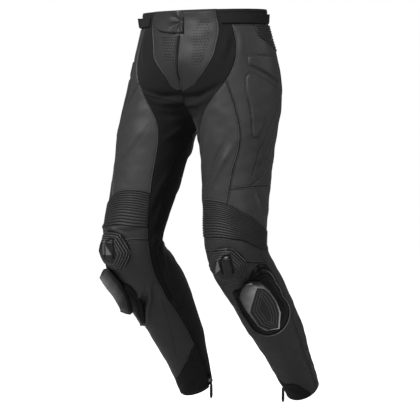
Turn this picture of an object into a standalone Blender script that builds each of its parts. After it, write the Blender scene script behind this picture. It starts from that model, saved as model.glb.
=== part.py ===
"""Motorcycle trousers of leather and stretch fabric, worn by nobody.

Metres, +Z up.  The front faces -Y and the wearer's left is +X.  The origin is the centre of
the waist opening, where the wearer holds the trousers up.

The whole garment is one worked-out surface, cut into panels.  A place on it is a station and
a bearing.  The station runs down a leg: 0 at the waist, 1 at the hip, 2 at the knee, 3 at the
hem.  The bearing is the angle round the leg's middle line, in degrees: 0 is the front, 90 the
outer side, 180 the back and -90 (or 270) the inner side.  Down to the fork each half ends on
the middle plane, at the centre seams; below the fork each leg is a closed tube.
"""

from typing import NamedTuple

import bmesh
import bpy
import numpy as np

# ---------------------------------------------------------------- driving dimensions

WAIST_HEIGHT = 0.0
HIP_HEIGHT = -0.140
WAIST_CENTRE_OUT = 0.066        # middle line of a half at the waist, from the middle plane
WAIST_DEPTH = 0.224             # front to back, over the waist opening
BACK_RISE = 0.016               # how much higher the back of the waist is than its front
WAIST_TILT = -0.020              # rise of the waist edge towards the wearer's left, per metre
RISE_FADE = 0.7                 # station where the rise and the tilt have died away

WALL = 0.002                    # leather or stretch with its backing
SEAM_GAP = 0.0003               # between pieces that are sewn edge to edge
EDGE_EASE = 0.00015             # extra on each edge, as the two sides' facets differ a little
LAY_GAP = 0.0007                # between a piece and what it lies on, flat facets and all

HIP_BEND = 0.5                  # stations each side of the hip over which the line bends
KNEE_BEND = 0.17
BLEND_TOP, BLEND_BOTTOM = -0.11, -0.31      # heights where the hips give way to two legs
FORK_SOFTNESS = 0.10            # how softly the two thighs run together above the fork
WEB_TOP, WEB_LENGTH = -0.25, 0.12
RING_LEAN = (1.42, 1.70)        # stations between which rings turn square to the leg
FREE_FROM, FREE_AT = 1.40, 1.55             # stations where a ring becomes the leg's alone


class Leg(NamedTuple):
    """Pose of one leg: joints of its middle line, knee bearing and bow of the shin."""
    name: str
    side: int
    hip: tuple
    knee: tuple
    hem: tuple
    facing: float
    bow: float


LEGS = (
    Leg("left", 1, (0.098, 0.0, HIP_HEIGHT), (0.118, -0.055, -0.600), (0.155, 0.240, -0.950),
        facing=6.0, bow=0.026),
    Leg("right", -1, (-0.099, 0.0, HIP_HEIGHT), (-0.143, -0.118, -0.580),
        (-0.100, 0.131, -0.947), facing=-14.0, bow=0.040),
)

# Sections round both hips: height, half width, depth to the front, depth to the back.
HIP_SECTIONS = (
    (0.010, 0.167, 0.112, 0.112),
    (-0.030, 0.170, 0.115, 0.118),
    (-0.070, 0.181, 0.123, 0.133),
    (-0.110, 0.191, 0.131, 0.148),
    (-0.160, 0.200, 0.134, 0.156),
    (-0.210, 0.204, 0.124, 0.156),
    (-0.260, 0.204, 0.105, 0.148),
    (-0.330, 0.204, 0.095, 0.130),
)

# Sections of a leg: station, half width, depth to the front, depth to the back.
LEG_SECTIONS = (
    (0.00, 0.105, 0.112, 0.110),
    (1.00, 0.106, 0.114, 0.132),
    (1.15, 0.105, 0.110, 0.128),
    (1.30, 0.098, 0.102, 0.115),
    (1.50, 0.088, 0.090, 0.096),
    (1.70, 0.081, 0.082, 0.080),
    (1.85, 0.078, 0.077, 0.070),
    (2.00, 0.075, 0.080, 0.063),
    (2.15, 0.072, 0.073, 0.076),
    (2.30, 0.068, 0.079, 0.080),
    (2.50, 0.063, 0.075, 0.070),
    (2.75, 0.054, 0.059, 0.055),
    (3.00, 0.044, 0.045, 0.044),
)

# Seams that run down the garment: station, bearing.
STRETCH_SEAM = (
    (0.00, 31), (0.35, 32), (0.68, 31), (0.86, 25.5), (0.97, 16), (1.05, 5), (1.13, -9),
    (1.21, -24), (1.28, -36), (1.36, -46), (1.43, -51), (1.51, -55), (1.69, -60), (1.88, -70),
    (2.00, -74), (2.14, -71), (2.24, -68), (2.41, -74), (2.60, -81), (2.74, -86), (2.92, -97),
    (3.00, -102),
)
SHIELD_SEAM = (
    (0.00, 14), (0.35, 11), (0.60, 3), (0.81, -6), (0.90, -14), (0.965, -22), (1.034, -35),
    (1.058, -44),
)
THIGH_SEAM = ((0.90, 10), (0.985, 15), (1.22, 26), (1.33, 30), (1.43, 28), (1.56, 18),
              (1.68, 12), (1.78, 5))
# Turn of two seams on each leg, in degrees, towards the outer side.
THIGH_SEAM_TURN = {"left": 0.0, "right": 9.0}
SHIELD_SEAM_TURN = {"left": 0.0, "right": -6.0}
YOKE_SEAM = ((0.00, 65), (0.30, 66), (0.40, 68), (0.48, 73), (0.54, 82), (0.60, 96),
             (0.66, 112))
SIDE_SEAM = ((0.66, 112), (1.00, 115), (1.40, 113), (1.70, 110), (2.02, 108))
SHIN_SEAM = ((1.90, 71), (2.00, 71), (2.05, 75), (2.17, 80), (2.28, 77), (2.41, 74),
             (2.57, 72), (2.73, 72), (2.94, 78), (3.00, 79))
CALF_SEAM_BEARING = 180.0
ZIP_HALF_WIDTH = 4.5            # degrees of bearing that each side of the hem zip's tape takes
ZIP_TOP = 2.30
ZIP_SPREAD = 0.12               # stations over which the tape's two edges part, above its top
GODET_TOP = 2.05                # where the inner leg panel starts to narrow towards the zip

# Seams that run round the garment: bearing, station.
BAND_BOTTOM = 0.264
FORK_CREASE = ((-62, 1.165), (-52, 1.15), (-25, 1.115), (0, 1.08), (12, 1.06))
THIGH_CROSS_SEAM = ((0, 1.69), (12, 1.676), (46, 1.654), (115, 1.62))
YOKE_BOTTOM = 0.66
SEAT_BOTTOM = ((110, 1.50), (180, 1.54), (225, 1.45), (270, 1.27))
RIBS_TOP = ((-80, 1.71), (-62, 1.72), (-38, 1.722), (-15, 1.732), (3, 1.745), (18, 1.762),
            (34, 1.788), (56, 1.813), (78, 1.848), (100, 1.870), (116, 1.880))
RIBS_BOTTOM = ((-80, 1.885), (-45, 1.895), (-15, 1.894), (18, 1.905), (39, 1.916),
               (60, 1.950), (87, 1.985), (106, 2.004), (120, 2.010), (135, 2.010), (270, 2.010))
KNEE_SEAM = ((-85, 1.949), (-30, 1.949), (0, 1.965), (34, 1.996), (82, 2.055))
HEM_SEAM = ((-95, 2.63), (-74, 2.672), (-40, 2.765), (-8, 2.850), (18, 2.895), (38, 2.960),
            (47, 3.000), (90, 3.000))
HEM_GUSSET_END = 43.0

# Extra ease where two panels' facets differ most: piece, then mm at its left, right, top and
# bottom edge.
EXTRA_EASE = {
    "front_stretch": (0.90, 0.75, 0.0, 0.0),
    "hip_side": (0.05, 0.80, 0.0, 0.0),
    "knee_band": (0.0, 0.10, 0.65, 0.0),
    "knee_ribs": (0.0, 0.40, 0.45, 0.20),
    "back_yoke": (1.35, 0.0, 0.0, 0.0),
    "inner_leg": (0.50, 0.15, 0.0, 0.0),
    "thigh_back": (0.0, 0.90, 0.0, 0.0),
    "hem_gusset": (0.0, 0.0, 0.60, 0.0),
    "hem_zip": (0.25, 0.25, 0.0, 0.0),
    "calf_outer": (0.0, 0.20, 0.45, 0.0),
}

# How close together a panel's rows stand: station, share of the usual closeness.
ROW_CLOSENESS = (
    (0.00, 1.6), (0.40, 1.6), (0.46, 3.4), (0.69, 3.4), (0.95, 2.2), (1.40, 2.0), (1.55, 1.0),
    (1.82, 1.0), (1.90, 2.0), (2.20, 2.0), (2.32, 1.0), (3.00, 1.0),
)

# Large folds: station, bearing, heading in degrees (0 along the leg, 90 round it), length,
# width, height out of the surface (less than 0 for a trough).
FOLDS = (
    (1.13, -22, 78, 0.110, 0.016, -0.0035),
    (1.20, 0, 60, 0.120, 0.022, 0.0030),
    (1.46, 0, 25, 0.190, 0.020, 0.0030),
    (1.40, 62, -12, 0.170, 0.022, 0.0030),
    (1.58, 84, 18, 0.150, 0.020, 0.0028),
    (1.30, 192, 84, 0.150, 0.022, -0.0040),
    (1.44, 170, 70, 0.120, 0.022, 0.0032),
    (1.88, 182, 86, 0.120, 0.016, 0.0035),
    (1.98, 188, 92, 0.120, 0.014, -0.0045),
    (2.08, 178, 86, 0.110, 0.016, 0.0035),
    (2.40, -46, 8, 0.120, 0.016, 0.0030),
    (2.62, 130, 14, 0.150, 0.018, 0.0028),
    (2.66, 215, -10, 0.140, 0.018, 0.0028),
)
# ---------------------------------------------------------------- the worked-out surface


def smooth_step(x):
    """Ease from 0 to 1: 3x^2 - 2x^3 between the two ends."""
    x = np.clip(x, 0.0, 1.0)
    return x * x * (3.0 - 2.0 * x)


def through_rows(table, at):
    """Smooth curve through a table's rows: a cubic with Catmull-Rom slopes.

    The first column is where a row stands.  The result has one column for each of the others.
    """
    rows = np.array(sorted(table), dtype=float)
    stand, value = rows[:, 0], rows[:, 1:]
    step = np.diff(stand)[:, None]
    rise = np.diff(value, axis=0) / step
    inner = (step[1:] * rise[:-1] + step[:-1] * rise[1:]) / (step[1:] + step[:-1])
    slope = np.vstack([rise[:1], inner, rise[-1:]])
    at = np.clip(np.asarray(at, dtype=float), stand[0], stand[-1])
    i = np.clip(np.searchsorted(stand, at, side="right") - 1, 0, len(stand) - 2)
    h = step[i]
    s = (at - stand[i])[..., None] / h
    return ((1 + 2 * s) * (1 - s) ** 2 * value[i] + s * (1 - s) ** 2 * h * slope[i]
            + s * s * (3 - 2 * s) * value[i + 1] + s * s * (s - 1) * h * slope[i + 1])


def curve(table):
    """A table of two columns as a function of the first."""
    return lambda at: through_rows(table, at)[..., 0]


def middle_line(leg, station):
    """Middle line of a leg: straight runs, with a quadratic bend at the hip and the knee.

    The shin bows back by a parabola, the fullness of the calf.
    """
    v = np.asarray(station, dtype=float)[..., None]
    joints = [np.array(p, dtype=float) for p in
              ((leg.side * WAIST_CENTRE_OUT, 0.0, WAIST_HEIGHT), leg.hip, leg.knee, leg.hem)]

    def straight(x):
        return (joints[0] + (joints[1] - joints[0]) * np.clip(x, -1.0, 1.0)
                + (joints[2] - joints[1]) * np.clip(x - 1.0, 0.0, 1.0)
                + (joints[3] - joints[2]) * np.clip(x - 2.0, 0.0, 1.5))

    line = straight(v)
    for corner, reach in ((1.0, HIP_BEND), (2.0, KNEE_BEND)):
        s = (v - corner + reach) / (2.0 * reach)
        bend = ((1 - s) ** 2 * straight(np.array([corner - reach]))
                + 2 * s * (1 - s) * joints[int(corner)]
                + s ** 2 * straight(np.array([corner + reach])))
        line = np.where(np.abs(v - corner) < reach, bend, line)
    s = np.clip(v - 1.9, 0.0, 1.1) / 1.1
    return line + np.array([0.0, leg.bow, 0.0]) * 4.0 * s * (1.0 - s) * smooth_step(3.0 * s)


def ring_frames(leg, station):
    """Centre, outward and forward directions of the ring at each station.

    Rings lie level down to the fork and lean until they stand square to the leg; the knee's
    facing is turned in over the thigh.
    """
    v = np.asarray(station, dtype=float)
    small = 1e-3
    centre = middle_line(leg, v)
    run = middle_line(leg, v + small) - middle_line(leg, v - small)
    run /= np.linalg.norm(run, axis=-1)[..., None]
    lean = smooth_step((v - RING_LEAN[0]) / (RING_LEAN[1] - RING_LEAN[0]))[..., None]
    down = (1.0 - lean) * np.array([0.0, 0.0, -1.0]) + lean * run
    down /= np.linalg.norm(down, axis=-1)[..., None]
    face = np.radians(leg.facing) * smooth_step((v - 1.0) / 0.6)
    fore = np.stack([np.sin(face), -np.cos(face), np.zeros_like(face)], axis=-1)
    fore -= (fore * down).sum(axis=-1)[..., None] * down
    fore /= np.linalg.norm(fore, axis=-1)[..., None]
    return centre, np.cross(fore, down) * leg.side, fore


def beyond(across, ahead, section):
    """How far a point lies past an oval: 0 on it, less than 0 inside.

    The oval is two half ellipses, one for the front depth and one for the back depth.
    """
    depth = np.where(ahead > 0.0, section[..., 1], section[..., 2])
    return np.hypot(across / section[..., 0], ahead / depth) - 1.0


class Half:
    """One half of the trousers as a grid of points: a row for each station.

    Above the fork the surface is where a field is 0.  The field is the hips' oval, fading
    into the soft union -k ln(e^(-a/k) + e^(-b/k)) of the two thighs' ovals.  Each grid point
    is found on its ray from the middle line by halving.
    """

    RAYS = 241
    ROWS_ABOVE = 60
    ROWS_BELOW = 150
    HALVINGS = 32

    def __init__(self, leg, other):
        self.leg = leg
        self.other = other
        fork = self.fork_station()
        t = np.linspace(0.0, 1.0, self.ROWS_ABOVE)
        self.fork = fork
        self.stations = np.concatenate([
            fork * (1.0 - (1.0 - t) ** 1.4),
            np.linspace(fork, 3.0, self.ROWS_BELOW)[1:],
        ])
        self.closed = np.arange(len(self.stations)) >= self.ROWS_ABOVE
        self.points = self.cast()
        self.lift_waist()
        self.normals = self.outward()

    def field(self, stations):
        """Field function of the rows at these stations, with the frames that it uses."""
        centre, out, fore = ring_frames(self.leg, stations)
        height = centre[:, 2]
        search = np.linspace(-0.2, 2.2, 481)
        heights = middle_line(self.other, search)[:, 2]
        twin = np.interp(-height, -heights, search)
        centre2, out2, fore2 = ring_frames(self.other, twin)
        hips = through_rows(HIP_SECTIONS, height)
        own = through_rows(LEG_SECTIONS, stations)
        mate = through_rows(LEG_SECTIONS, twin)
        legs = smooth_step((BLEND_TOP - height) / (BLEND_TOP - BLEND_BOTTOM))
        soft = FORK_SOFTNESS * (1.0 - smooth_step((WEB_TOP - height) / WEB_LENGTH)) + 1e-3

        def value(p):
            def oval(c, x, f, section):
                d = p - c[:, None]
                return beyond((d * x[:, None]).sum(-1), (d * f[:, None]).sum(-1),
                              section[:, None])
            a = oval(centre, out, fore, own)
            b = oval(centre2, out2, fore2, mate)
            k = soft[:, None]
            pair = -k * np.logaddexp(-a / k, -b / k)
            hip = beyond(p[..., 0], -p[..., 1], hips[:, None])
            return hip + (pair - hip) * legs[:, None]

        return value, centre, out, fore, own

    def saddle(self, stations):
        """Least value of the field on the middle plane, and where it is."""
        value, centre = self.field(stations)[:2]
        y = np.linspace(-0.12, 0.12, 241)
        spot = np.zeros((len(stations), len(y), 3))
        spot[..., 1] = y
        spot[..., 2] = centre[:, 2:3]
        field = value(spot)
        return field.min(axis=1), y[field.argmin(axis=1)]

    def fork_station(self):
        """Station where the legs part: the field on the middle plane rises to 0."""
        low, high = 1.0, 1.5
        for _ in range(self.HALVINGS):
            mid = (low + high) / 2.0
            inside = self.saddle(np.array([mid]))[0][0] < 0.0
            low, high = (mid, high) if inside else (low, mid)
        return low

    def halve(self, value, origin, direction, reach):
        """Distance along each ray to where the field is 0."""
        near, far = np.zeros_like(reach), reach.copy()
        for _ in range(self.HALVINGS):
            mid = (near + far) / 2.0
            inside = value(origin + mid[..., None] * direction) < 0.0
            near, far = np.where(inside, mid, near), np.where(inside, far, mid)
        return near

    def cast(self):
        """Points of every row, with the bearings of the row's two ends."""
        v = self.stations
        value, centre, out, fore, own = self.field(v)
        middle = self.saddle(v)[1]
        origin = np.stack([np.zeros_like(v), middle, centre[:, 2]], axis=1)[:, None]
        ends = []
        for way in (-1.0, 1.0):
            ray = np.array([0.0, way, 0.0])
            far = self.halve(value, origin, ray, np.full((len(v), 1), 0.25))
            ends.append(middle + way * far[:, 0])
        front_y, back_y = ends
        fork = self.ROWS_ABOVE - 1
        front_y[fork] = back_y[fork] = middle[fork]

        def bearing(y):
            d = np.stack([-centre[:, 0], y - centre[:, 1], np.zeros_like(v)], axis=1)
            return np.arctan2((d * out).sum(-1), (d * fore).sum(-1))

        start, end = bearing(front_y), np.mod(bearing(back_y), 2.0 * np.pi)
        inseam = start[fork] + (-np.pi / 2 - start[fork]) * smooth_step((v - v[fork]) / 0.25)
        start = np.where(self.closed, inseam, start)
        end = np.where(self.closed, inseam + 2.0 * np.pi, end)
        end[fork] = start[fork] + 2.0 * np.pi
        self.start, self.end = np.degrees(start), np.degrees(end)

        turn = start[:, None] + (end - start)[:, None] * np.linspace(0.0, 1.0, self.RAYS)
        ray = np.sin(turn)[..., None] * out[:, None] + np.cos(turn)[..., None] * fore[:, None]
        depth = np.where(np.cos(turn) > 0.0, own[:, 1:2], own[:, 2:3])
        alone = 1.0 / np.hypot(np.sin(turn) / own[:, 0:1], np.cos(turn) / depth)
        inward = -ray[..., 0] * self.leg.side
        reach = np.minimum(0.35, np.where(
            inward > 1e-4, np.abs(centre[:, :1]) / np.maximum(inward, 1e-4), 0.35))
        shared = self.halve(value, centre[:, None], ray, reach)
        own_part = smooth_step((v - FREE_FROM) / (FREE_AT - FREE_FROM))[:, None]
        points = centre[:, None] + (shared + (alone - shared) * own_part)[..., None] * ray
        open_rows = ~self.closed
        for column, y in ((0, front_y), (-1, back_y)):
            seam = np.stack([np.zeros_like(v), y, centre[:, 2]], axis=1)
            points[open_rows, column] = seam[open_rows]
        return points

    def lift_waist(self):
        """Raise the back and the wearer's left of the waist edge, fading down the hips."""
        fade = (1.0 - smooth_step(self.stations / RISE_FADE))[:, None]
        x, y = self.points[..., 0], self.points[..., 1]
        back = np.clip(0.5 + y / WAIST_DEPTH, 0.0, 1.0)
        self.points[..., 2] += fade * (BACK_RISE * back + WAIST_TILT * x)

    def outward(self):
        """Unit normals of the grid, pointing out of the garment."""
        along = np.gradient(self.points, axis=1)
        joined = (self.points[:, 1] - self.points[:, -2]) / 2.0
        along[self.closed, 0] = along[self.closed, -1] = joined[self.closed]
        down = np.gradient(self.points, axis=0)
        normal = np.cross(down, along) * self.leg.side
        return normal / np.linalg.norm(normal, axis=2)[..., None]

    def ends(self, station):
        """Bearings of the centre front or inseam, and of the centre back or inseam."""
        return (np.interp(station, self.stations, self.start),
                np.interp(station, self.stations, self.end))

    def at(self, station, bearing):
        """Point and normal at each station and bearing, by straight lines in the grid."""
        station, bearing = np.broadcast_arrays(
            np.asarray(station, dtype=float), np.asarray(bearing, dtype=float))
        row = np.interp(station, self.stations, np.arange(len(self.stations)))
        i = np.minimum(row.astype(int), len(self.stations) - 2)
        start, end = self.ends(station)
        turn = (bearing - start) / (end - start)
        below = station > self.fork
        turn = np.where(below & ((turn < 0) | (turn > 1)), np.mod(turn, 1.0), turn)
        column = np.clip(turn, 0.0, 1.0) * (self.RAYS - 1)
        j = np.minimum(column.astype(int), self.RAYS - 2)
        a, b = (row - i)[..., None], (column - j)[..., None]

        def mixed(grid):
            return ((grid[i, j] * (1 - b) + grid[i, j + 1] * b) * (1 - a)
                    + (grid[i + 1, j] * (1 - b) + grid[i + 1, j + 1] * b) * a)

        normal = mixed(self.normals)
        return mixed(self.points), normal / np.linalg.norm(normal, axis=-1)[..., None]

# ---------------------------------------------------------------- folds and the surface


def station_length(station):
    """Length of leg that one station spans: short at the hips, long at thigh and shin."""
    return np.interp(station, (0.9, 1.3), (0.15, 0.47))


def fold_lift(station, bearing):
    """Height of all the folds: each a Gaussian ridge across, fading to its two ends."""
    total = np.zeros(np.broadcast(station, bearing).shape)
    for at, turn, heading, length, width, height in FOLDS:
        down = (station - at) * station_length(station)
        radius = np.interp(at, (1.0, 2.0, 3.0), (0.110, 0.075, 0.045))
        apart = (np.asarray(bearing) - turn + 180.0) % 360.0 - 180.0
        across = np.radians(apart) * radius
        cos, sin = np.cos(np.radians(heading)), np.sin(np.radians(heading))
        along = down * cos + across * sin
        aside = across * cos - down * sin
        ends = smooth_step(1.0 - np.abs(along) / (length / 2.0))
        total += height * np.exp(-(aside / width) ** 2) * ends
    return total


def surface(half, station, bearing, lift):
    """Points at a height above the folded surface."""
    point, normal = half.at(station, bearing)
    return point + normal * (np.asarray(lift) + fold_lift(station, bearing))[..., None]


def row_scale():
    """Stations, and the length of leg down to each, stretched where rows stand closer."""
    station = np.linspace(0.0, 3.0, 3001)
    closeness = np.interp(station, *np.array(ROW_CLOSENESS).T)
    return station, np.cumsum(station_length(station) * closeness)


def patch(left, right, top, bottom, rows, columns):
    """Stations and bearings of a panel's grid.

    left and right give a bearing at a station; top and bottom give a station at a bearing.
    Each column's two ends are found by going round that loop a few times.
    """
    share = np.linspace(0.0, 1.0, columns + 1)

    def settle(edge, station):
        for _ in range(12):
            bearing = left(station) + (right(station) - left(station)) * share
            station = 0.5 * station + 0.5 * edge(bearing)
        return station

    middle = np.full(columns + 1, 0.5 * (top(0.0) + bottom(0.0)))
    stations, stretched = row_scale()
    upper, lower = (np.interp(settle(e, middle), stations, stretched) for e in (top, bottom))
    depth = upper + (lower - upper) * np.linspace(0.0, 1.0, rows + 1)[:, None]
    station = np.interp(depth, stretched, stations)
    edge = left(station)
    return station, edge + (right(station) - edge) * share


def level(station):
    """A straight edge round the garment, as a function of bearing."""
    return lambda bearing: np.full(np.shape(bearing), float(station))


def upright(bearing):
    """A straight edge down the garment, as a function of station."""
    return lambda station: np.full(np.shape(station), float(bearing))


# ---------------------------------------------------------------- meshes and materials


def material(name, colour, roughness, metallic=0.0):
    """Plain Principled material, made once for each name."""
    made = bpy.data.materials.get(name)
    if made is None:
        made = bpy.data.materials.new(name)
        made.use_nodes = True
        shader = made.node_tree.nodes["Principled BSDF"]
        shader.inputs["Base Color"].default_value = (*colour, 1.0)
        shader.inputs["Roughness"].default_value = roughness
        shader.inputs["Metallic"].default_value = metallic
    return made


LEATHER = ("leather", (0.058, 0.058, 0.060), 0.52)
STRETCH = ("stretch_fabric", (0.024, 0.024, 0.025), 0.85)
WEBBING = ("webbing", (0.018, 0.018, 0.019), 0.80)
MOULDED = ("moulded_plastic", (0.030, 0.030, 0.032), 0.35)
PUCK = ("slider_plastic", (0.045, 0.045, 0.047), 0.40)
METAL = ("zip_metal", (0.110, 0.110, 0.115), 0.38, 0.8)


def body(name, points, faces, finish):
    """One closed body from points and faces, its faces turned to point out."""
    mesh = bpy.data.meshes.new(name)
    work = bmesh.new()
    corners = [work.verts.new(p) for p in points]
    for face in faces:
        work.faces.new([corners[i] for i in face])
    bmesh.ops.recalc_face_normals(work, faces=work.faces)
    work.to_mesh(mesh)
    work.free()
    mesh.materials.append(material(*finish))
    made = bpy.data.objects.new(name, mesh)
    bpy.context.collection.objects.link(made)
    return made


def inset(grid, ease=(0.0, 0.0, 0.0, 0.0)):
    """Draw a grid's four edges in, square to themselves, by half a seam gap and their ease.

    ease is the extra in millimetres at the left, right, top and bottom edge.
    """
    moved = grid.copy()
    for rows_first, a, b, extra in ((False, 0, 1, ease[0]), (False, -1, -2, ease[1]),
                                    (True, 0, 1, ease[2]), (True, -1, -2, ease[3])):
        edge, inner = (grid[a], grid[b]) if rows_first else (grid[:, a], grid[:, b])
        along = np.gradient(edge, axis=0)
        along /= np.linalg.norm(along, axis=1)[:, None]
        step = inner - edge
        step -= (step * along).sum(axis=1)[:, None] * along
        step *= (SEAM_GAP / 2.0 + EDGE_EASE + extra * 0.001) / np.linalg.norm(step, axis=1)[:, None]
        if rows_first:
            moved[a] += step
        else:
            moved[:, a] += step
    return moved


def wall(name, outer, inner, finish):
    """A panel: an outer and an inner grid of points, joined round their edge."""
    rows, columns = outer.shape[:2]
    count = rows * columns
    index = np.arange(count).reshape(rows, columns)
    quads = np.stack([index[:-1, :-1], index[:-1, 1:], index[1:, 1:], index[1:, :-1]], -1)
    quads = quads.reshape(-1, 4)
    rim = np.concatenate([index[0, :-1], index[:-1, -1], index[-1, :0:-1], index[:0:-1, 0]])
    after = np.roll(rim, -1)
    faces = quads.tolist() + (quads[:, ::-1] + count).tolist()
    faces += np.stack([rim, rim + count, after + count, after], axis=1).tolist()
    points = np.concatenate([outer.reshape(-1, 3), inner.reshape(-1, 3)])
    return body(name, points.tolist(), faces, finish)


def panel(name, half, station, bearing, finish, lift=0.0, thickness=WALL):
    """A panel of one half: its outer face at a lift above the surface."""
    ease = EXTRA_EASE.get(name, (0.0, 0.0, 0.0, 0.0))
    outer, inner = (inset(surface(half, station, bearing, np.asarray(lift) - depth), ease)
                    for depth in (0.0, thickness))
    return wall(f"{name}_{half.leg.name}", outer, inner, finish)


def mound(name, half, centre, outline, rings, finish, directions=24):
    """A hard piece that lies on the garment: rings of one outline, scaled and lifted.

    centre is a station and a bearing.  outline gives the reach in each direction, 0 towards
    the hem and 90 towards the outer side.  rings is a table of scale, lift and a shift
    towards the hem; the first and last ring are closed by a point.
    """
    turn = np.linspace(0.0, 2.0 * np.pi, directions, endpoint=False)
    wrapped = [(a + 360.0 * k, r) for k in (-1, 0, 1) for a, r in outline]
    reach = through_rows(wrapped, np.degrees(turn))[:, 0]
    station, bearing = centre
    stations = np.linspace(station - 0.4, station + 0.4, 401)
    line = half.at(stations, bearing)[0]
    steps = np.linalg.norm(np.diff(line, axis=0), axis=1)
    down_to = np.concatenate([[0.0], np.cumsum(steps)]) - steps[:200].sum()
    sides = half.at(station, bearing + np.array([-10.0, 10.0]))[0]
    per_metre = 20.0 / np.linalg.norm(sides[1] - sides[0])

    def ring(scale, lift, shift):
        down = scale * reach * np.cos(turn) + shift
        across = scale * reach * np.sin(turn)
        v = np.interp(down, down_to, stations)
        return surface(half, v, bearing + across * per_metre, lift)

    loops = [ring(*row) for row in rings]
    ends = [ring(0.0, *rings[k][1:])[:1] for k in (0, -1)]
    points = np.concatenate(loops + ends).tolist()
    faces = []
    for k in range(len(loops) - 1):
        for i in range(directions):
            j = (i + 1) % directions
            faces.append((k * directions + i, k * directions + j,
                          (k + 1) * directions + j, (k + 1) * directions + i))
    first, last = len(points) - 2, len(points) - 1
    base = (len(loops) - 1) * directions
    for i in range(directions):
        j = (i + 1) % directions
        faces.append((first, j, i))
        faces.append((last, base + i, base + j))
    made = body(name, points, faces, finish)
    made.data.shade_smooth()
    made.data.set_sharp_from_angle(angle=np.radians(35.0))
    return made


# ---------------------------------------------------------------- cloth pieces of one half


def ribs(count, rows_each, height):
    """Lift of each row of a ribbed panel: a crest between two troughs, for each rib."""
    phase = np.arange(count * rows_each + 1) / rows_each
    return (height * 0.5 * (1.0 - np.cos(2.0 * np.pi * phase)))[:, None]


RIB_HEIGHT = 0.0022
KNEE_RIBS = 12
YOKE_RIBS = 7


def seams(half):
    """The seams of one half, as functions of station or of bearing."""
    stretch, front, middle = curve(STRETCH_SEAM), curve(THIGH_SEAM), curve(SHIELD_SEAM)
    yoke, side, shin = curve(YOKE_SEAM), curve(SIDE_SEAM), curve(SHIN_SEAM)
    outward = THIGH_SEAM_TURN[half.leg.name]
    inward = SHIELD_SEAM_TURN[half.leg.name]

    def shield(station):
        ends = smooth_step((station - 0.15) / 0.3) * smooth_step((0.92 - station) / 0.25)
        return middle(station) + inward * ends

    def thigh(station):
        return front(station) + outward * smooth_step((station - 0.99) / 0.2)

    def zip_share(station):
        return ZIP_HALF_WIDTH * smooth_step((station - ZIP_TOP) / ZIP_SPREAD + 1.0)

    def zip_back(station):
        """The inseam, then a straight slant to the back edge of the zip."""
        inseam = half.ends(station)[0]
        slant = np.clip((station - GODET_TOP) / (ZIP_TOP - GODET_TOP), 0.0, 1.0)
        return inseam + (stretch(station) - zip_share(station) - inseam) * slant

    return dict(
        centre_front=lambda v: half.ends(v)[0],
        centre_back=lambda v: half.ends(v)[1],
        shield=shield,
        stretch=stretch,
        thigh=thigh,
        tongue=lambda v: np.where(v < SHIELD_SEAM[-1][0], np.maximum(shield(v), half.ends(v)[0]),
                                  half.ends(v)[0]),
        hip_front=lambda v: np.maximum(stretch(v), thigh(v)),
        hip_back=lambda v: np.where(v < YOKE_BOTTOM, yoke(v), side(v)),
        yoke=yoke,
        side=side,
        shin=shin,
        shin_front=lambda v: stretch(v) + zip_share(v),
        zip_back=zip_back,
        calf_inner=lambda v: 360.0 + zip_back(v),
    )


def cloth_pieces(half):
    """The flat-cut panels of one half: name, four seams, rows, columns and finish."""
    s = seams(half)
    cuffs = level(3.0)
    pieces = (
        ("front_shield", s["centre_front"], s["tongue"], level(0.0),
         level(SHIELD_SEAM[-1][0]), 13, 4, LEATHER),
        ("front_stretch", s["tongue"], s["stretch"], level(BAND_BOTTOM), curve(FORK_CREASE),
         14, 4, STRETCH),
        ("hip_side", s["hip_front"], s["hip_back"], level(BAND_BOTTOM),
         curve(THIGH_CROSS_SEAM), 15, 6, LEATHER),
        ("thigh_front", s["stretch"], s["thigh"], level(0.992), curve(RIBS_TOP), 14, 4, LEATHER),
        ("thigh_side", s["thigh"], s["side"], curve(THIGH_CROSS_SEAM), curve(RIBS_TOP), 3, 7,
         LEATHER),
        ("inner_leg", s["zip_back"], s["shin_front"], curve(FORK_CREASE), level(ZIP_TOP), 20, 3,
         STRETCH),
        ("seat", s["side"], s["centre_back"], level(YOKE_BOTTOM), curve(SEAT_BOTTOM), 12, 8,
         LEATHER),
        ("thigh_back", s["side"], s["centre_back"], curve(SEAT_BOTTOM), curve(RIBS_BOTTOM),
         12, 8, STRETCH),
        ("knee_band", s["stretch"], s["shin"], curve(RIBS_BOTTOM), curve(KNEE_SEAM), 2, 8,
         LEATHER),
        ("shin_front", s["shin_front"], s["shin"], curve(KNEE_SEAM), curve(HEM_SEAM), 12, 8,
         LEATHER),
        ("calf_outer", s["shin"], upright(CALF_SEAM_BEARING), curve(RIBS_BOTTOM), cuffs, 12, 5,
         LEATHER),
        ("calf_inner", upright(CALF_SEAM_BEARING), s["calf_inner"], level(2.010), cuffs, 14, 5,
         STRETCH),
        ("hem_gusset", s["shin_front"], upright(HEM_GUSSET_END), curve(HEM_SEAM), cuffs, 5, 6,
         STRETCH),
    )
    for name, left, right, top, bottom, rows, columns, finish in pieces:
        station, bearing = patch(left, right, top, bottom, rows, columns)
        panel(name, half, station, bearing, finish)

    station, bearing = patch(s["stretch"], s["side"], curve(RIBS_TOP), curve(RIBS_BOTTOM),
                             2 * KNEE_RIBS, 7)
    panel("knee_ribs", half, station, bearing, LEATHER, lift=ribs(KNEE_RIBS, 2, RIB_HEIGHT))
    station, bearing = patch(s["yoke"], s["centre_back"], level(BAND_BOTTOM),
                             level(YOKE_BOTTOM), 2 * YOKE_RIBS, 7)
    panel("back_yoke", half, station, bearing, LEATHER, lift=ribs(YOKE_RIBS, 2, RIB_HEIGHT))


STRAP_TOP, STRAP_BOTTOM = 0.094, 0.250
STRAP_START, STRAP_END = 17.0, 102.0
STRAP_END_LIFT = 0.004


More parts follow.
